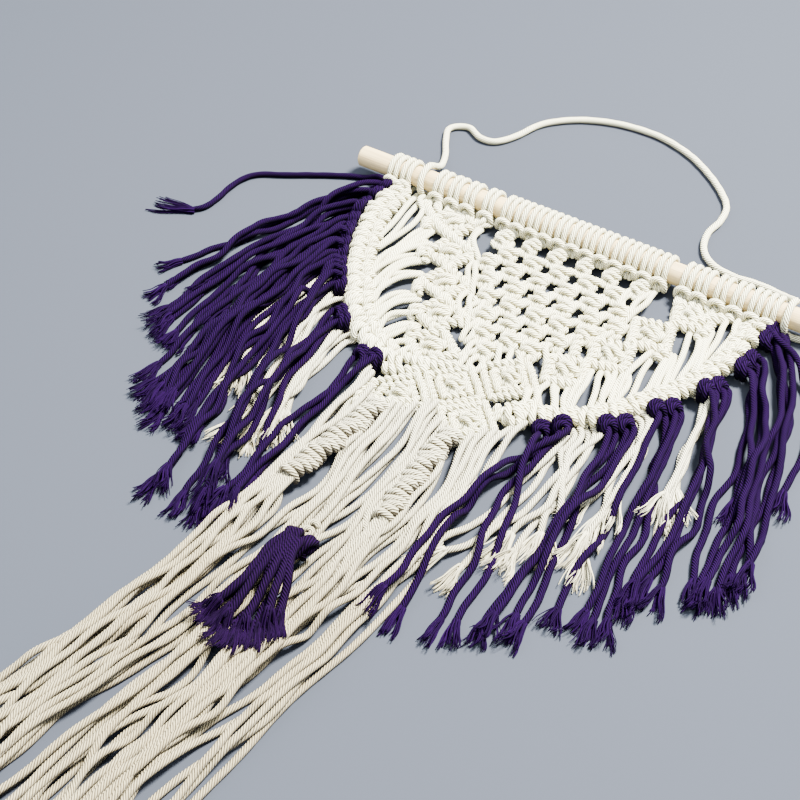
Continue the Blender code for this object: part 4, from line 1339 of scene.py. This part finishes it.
tassel = {
    # how its strands fan out, from the waist to the tips: the leftmost, a middle one, the rightmost
    "guides": [[(-5.2, -265), (-7, -275), (-7.5, -285), (-8, -296), (-11.5, -308), (-20, -318)],
               [(-1, -266.5), (-1.2, -276), (0, -287), (1.5, -299), (3.5, -311), (5.5, -324)],
               [(3.4, -265), (4.4, -274), (9.5, -285.5), (14, -295.5), (18.5, -303.5), (24.5, -311)]],
    "strands": 9,
    "radius": 2.0,
    "ceiling": 18.5,
    "firstZ": 9.0,
    "lay": 12.0,
    "fray": 11.0,
    "fraySpread": 3.4,
    "frayFibres": 44,
    "frayLowest": 10.6,
    # the doubled cords bent over at its top: where a bunch starts and bends, how many, their spacing
    "loops": [((-2.6, -267.5), (-4.9, -259.4), 3, 2.2), ((2.8, -267.0), (5.2, -260.0), 2, 2.3)],
    "tie": (-1.0, -268.5, 5.2),
}


def makeTassel():
    skein = Skein("tassel_strands", 91)
    dice = skein.dice
    guides = np.array(tassel["guides"], float)
    strands = tassel["strands"]
    radius = tassel["radius"]
    order = list(range(0, strands, 2)) + list(range(1, strands, 2))
    for index in order:
        share = (index + dice.uniform(-0.2, 0.2)) / (strands - 1) * 2
        share = min(1.999, max(0.0, share))
        low = int(share)
        route = guides[low] * (1 - share + low) + guides[low + 1] * (share - low)
        # each strand bends in its own way on its way to the tips
        along = np.linspace(0, 1, len(route))
        bends = np.sin(along * dice.uniform(3.5, 6.0) + dice.uniform(0, turn)) * dice.uniform(0.6, 1.8)
        bends = bends * np.sin(np.pi * np.clip(along * 1.1, 0, 1)) + along * dice.uniform(-1.4, 1.4)
        route = route + np.column_stack([bends, np.zeros(len(route))])
        flat = smoothLine(route, layStep)
        flat = flat[:len(flat) - int((tassel["fray"] * 0.7 + dice.uniform(0, 6.0)) / layStep)]
        line = layCord(skein, flat, radius, tassel["ceiling"], tassel["firstZ"], lay=tassel["lay"], taper=4.0)
        heading = line[-1] - line[-5] + np.array([dice.uniform(-0.8, 0.8), 0.0, 0.0])
        skein.fray(line[-1], heading, tassel["fray"] * dice.uniform(0.85, 1.15), tassel["fraySpread"],
                   tassel["frayFibres"], lowest=tassel["frayLowest"], cordRadius=radius)
    for foot, bend, cords, spacing in tassel["loops"]:
        foot, bend = np.array(foot, float), np.array(bend, float)
        towards = (bend - foot) / np.linalg.norm(bend - foot)
        beside = np.array([-towards[1], towards[0]])
        for cord in range(cords):
            shift = beside * (cord - (cords - 1) / 2) * spacing
            start = foot + shift * 0.7
            loop = [(*(start - towards * 4.0), 11.0), (*start, 14.0), (*(bend + shift - towards * 3.0), 15.6),
                    (*(bend + shift), 14.0), (*(bend + shift + towards * 0.5), 12.4),
                    (*(bend + shift - towards * 1.2), 11.2), (*(bend + shift - towards * 5.0), 10.6)]
            skein.bend(loop, radius, 1.2)
    # one cord tied round the waist
    tieX, tieY, tieReach = tassel["tie"]
    tie = [(tieX + tieReach * math.cos(a), tieY + 2.0 * math.cos(a), 8.0 + 7.0 * math.sin(a))
           for a in np.linspace(-0.1, math.pi + 0.1, 14)]
    skein.bend(tie, radius * 0.9, 1.2)
    skein.make(tasselFinish, "purple_cotton", "tassel")


makeTassel()
print("tassel laid,", sum(made), "triangles in all")


# surface and light

studio = {
    "floorColour": (0.0300, 0.0340, 0.0445),
    "floorShine": 0.12,
    "floorRoughness": 0.9,
    "floorSize": 40.0,
    "world": (0.80, 0.88, 1.0),
    "worldStrength": 2.6,
    # place from the piece's middle, size, watts, colour
    "keyLight": ((0.55, 0.75, 1.6), 0.42, 500.0, (1.0, 0.99, 0.93)),
    "fillLight": ((-1.1, -0.5, 1.2), 1.6, 32.0, (0.95, 0.97, 1.0)),
}


def makeStudio():
    bpy.ops.mesh.primitive_plane_add(size=studio["floorSize"])
    floor = bpy.context.active_object
    floor.name = "floor"
    finish = Finish("pale floor")
    finish.set({"Base Color": studio["floorColour"], "Roughness": studio["floorRoughness"],
                "Specular IOR Level": studio["floorShine"]})
    floor.data.materials.append(finish.material)
    for name in ("keyLight", "fillLight"):
        place, size, power, colour = studio[name]
        data = bpy.data.lights.new(name, "AREA")
        data.size = size
        data.energy = power
        data.color = colour
        light = bpy.data.objects.new(name, data)
        light.location = place
        light.rotation_mode = "QUATERNION"
        light.rotation_quaternion = (-light.location).to_track_quat("-Z", "Y")
        bpy.context.scene.collection.objects.link(light)
    world = bpy.data.worlds.new("soft light")
    world.use_nodes = True
    background = world.node_tree.nodes["Background"]
    background.inputs["Color"].default_value = (*studio["world"], 1.0)
    background.inputs["Strength"].default_value = studio["worldStrength"]
    bpy.context.scene.world = world
    print("floor and lights set")


makeStudio()
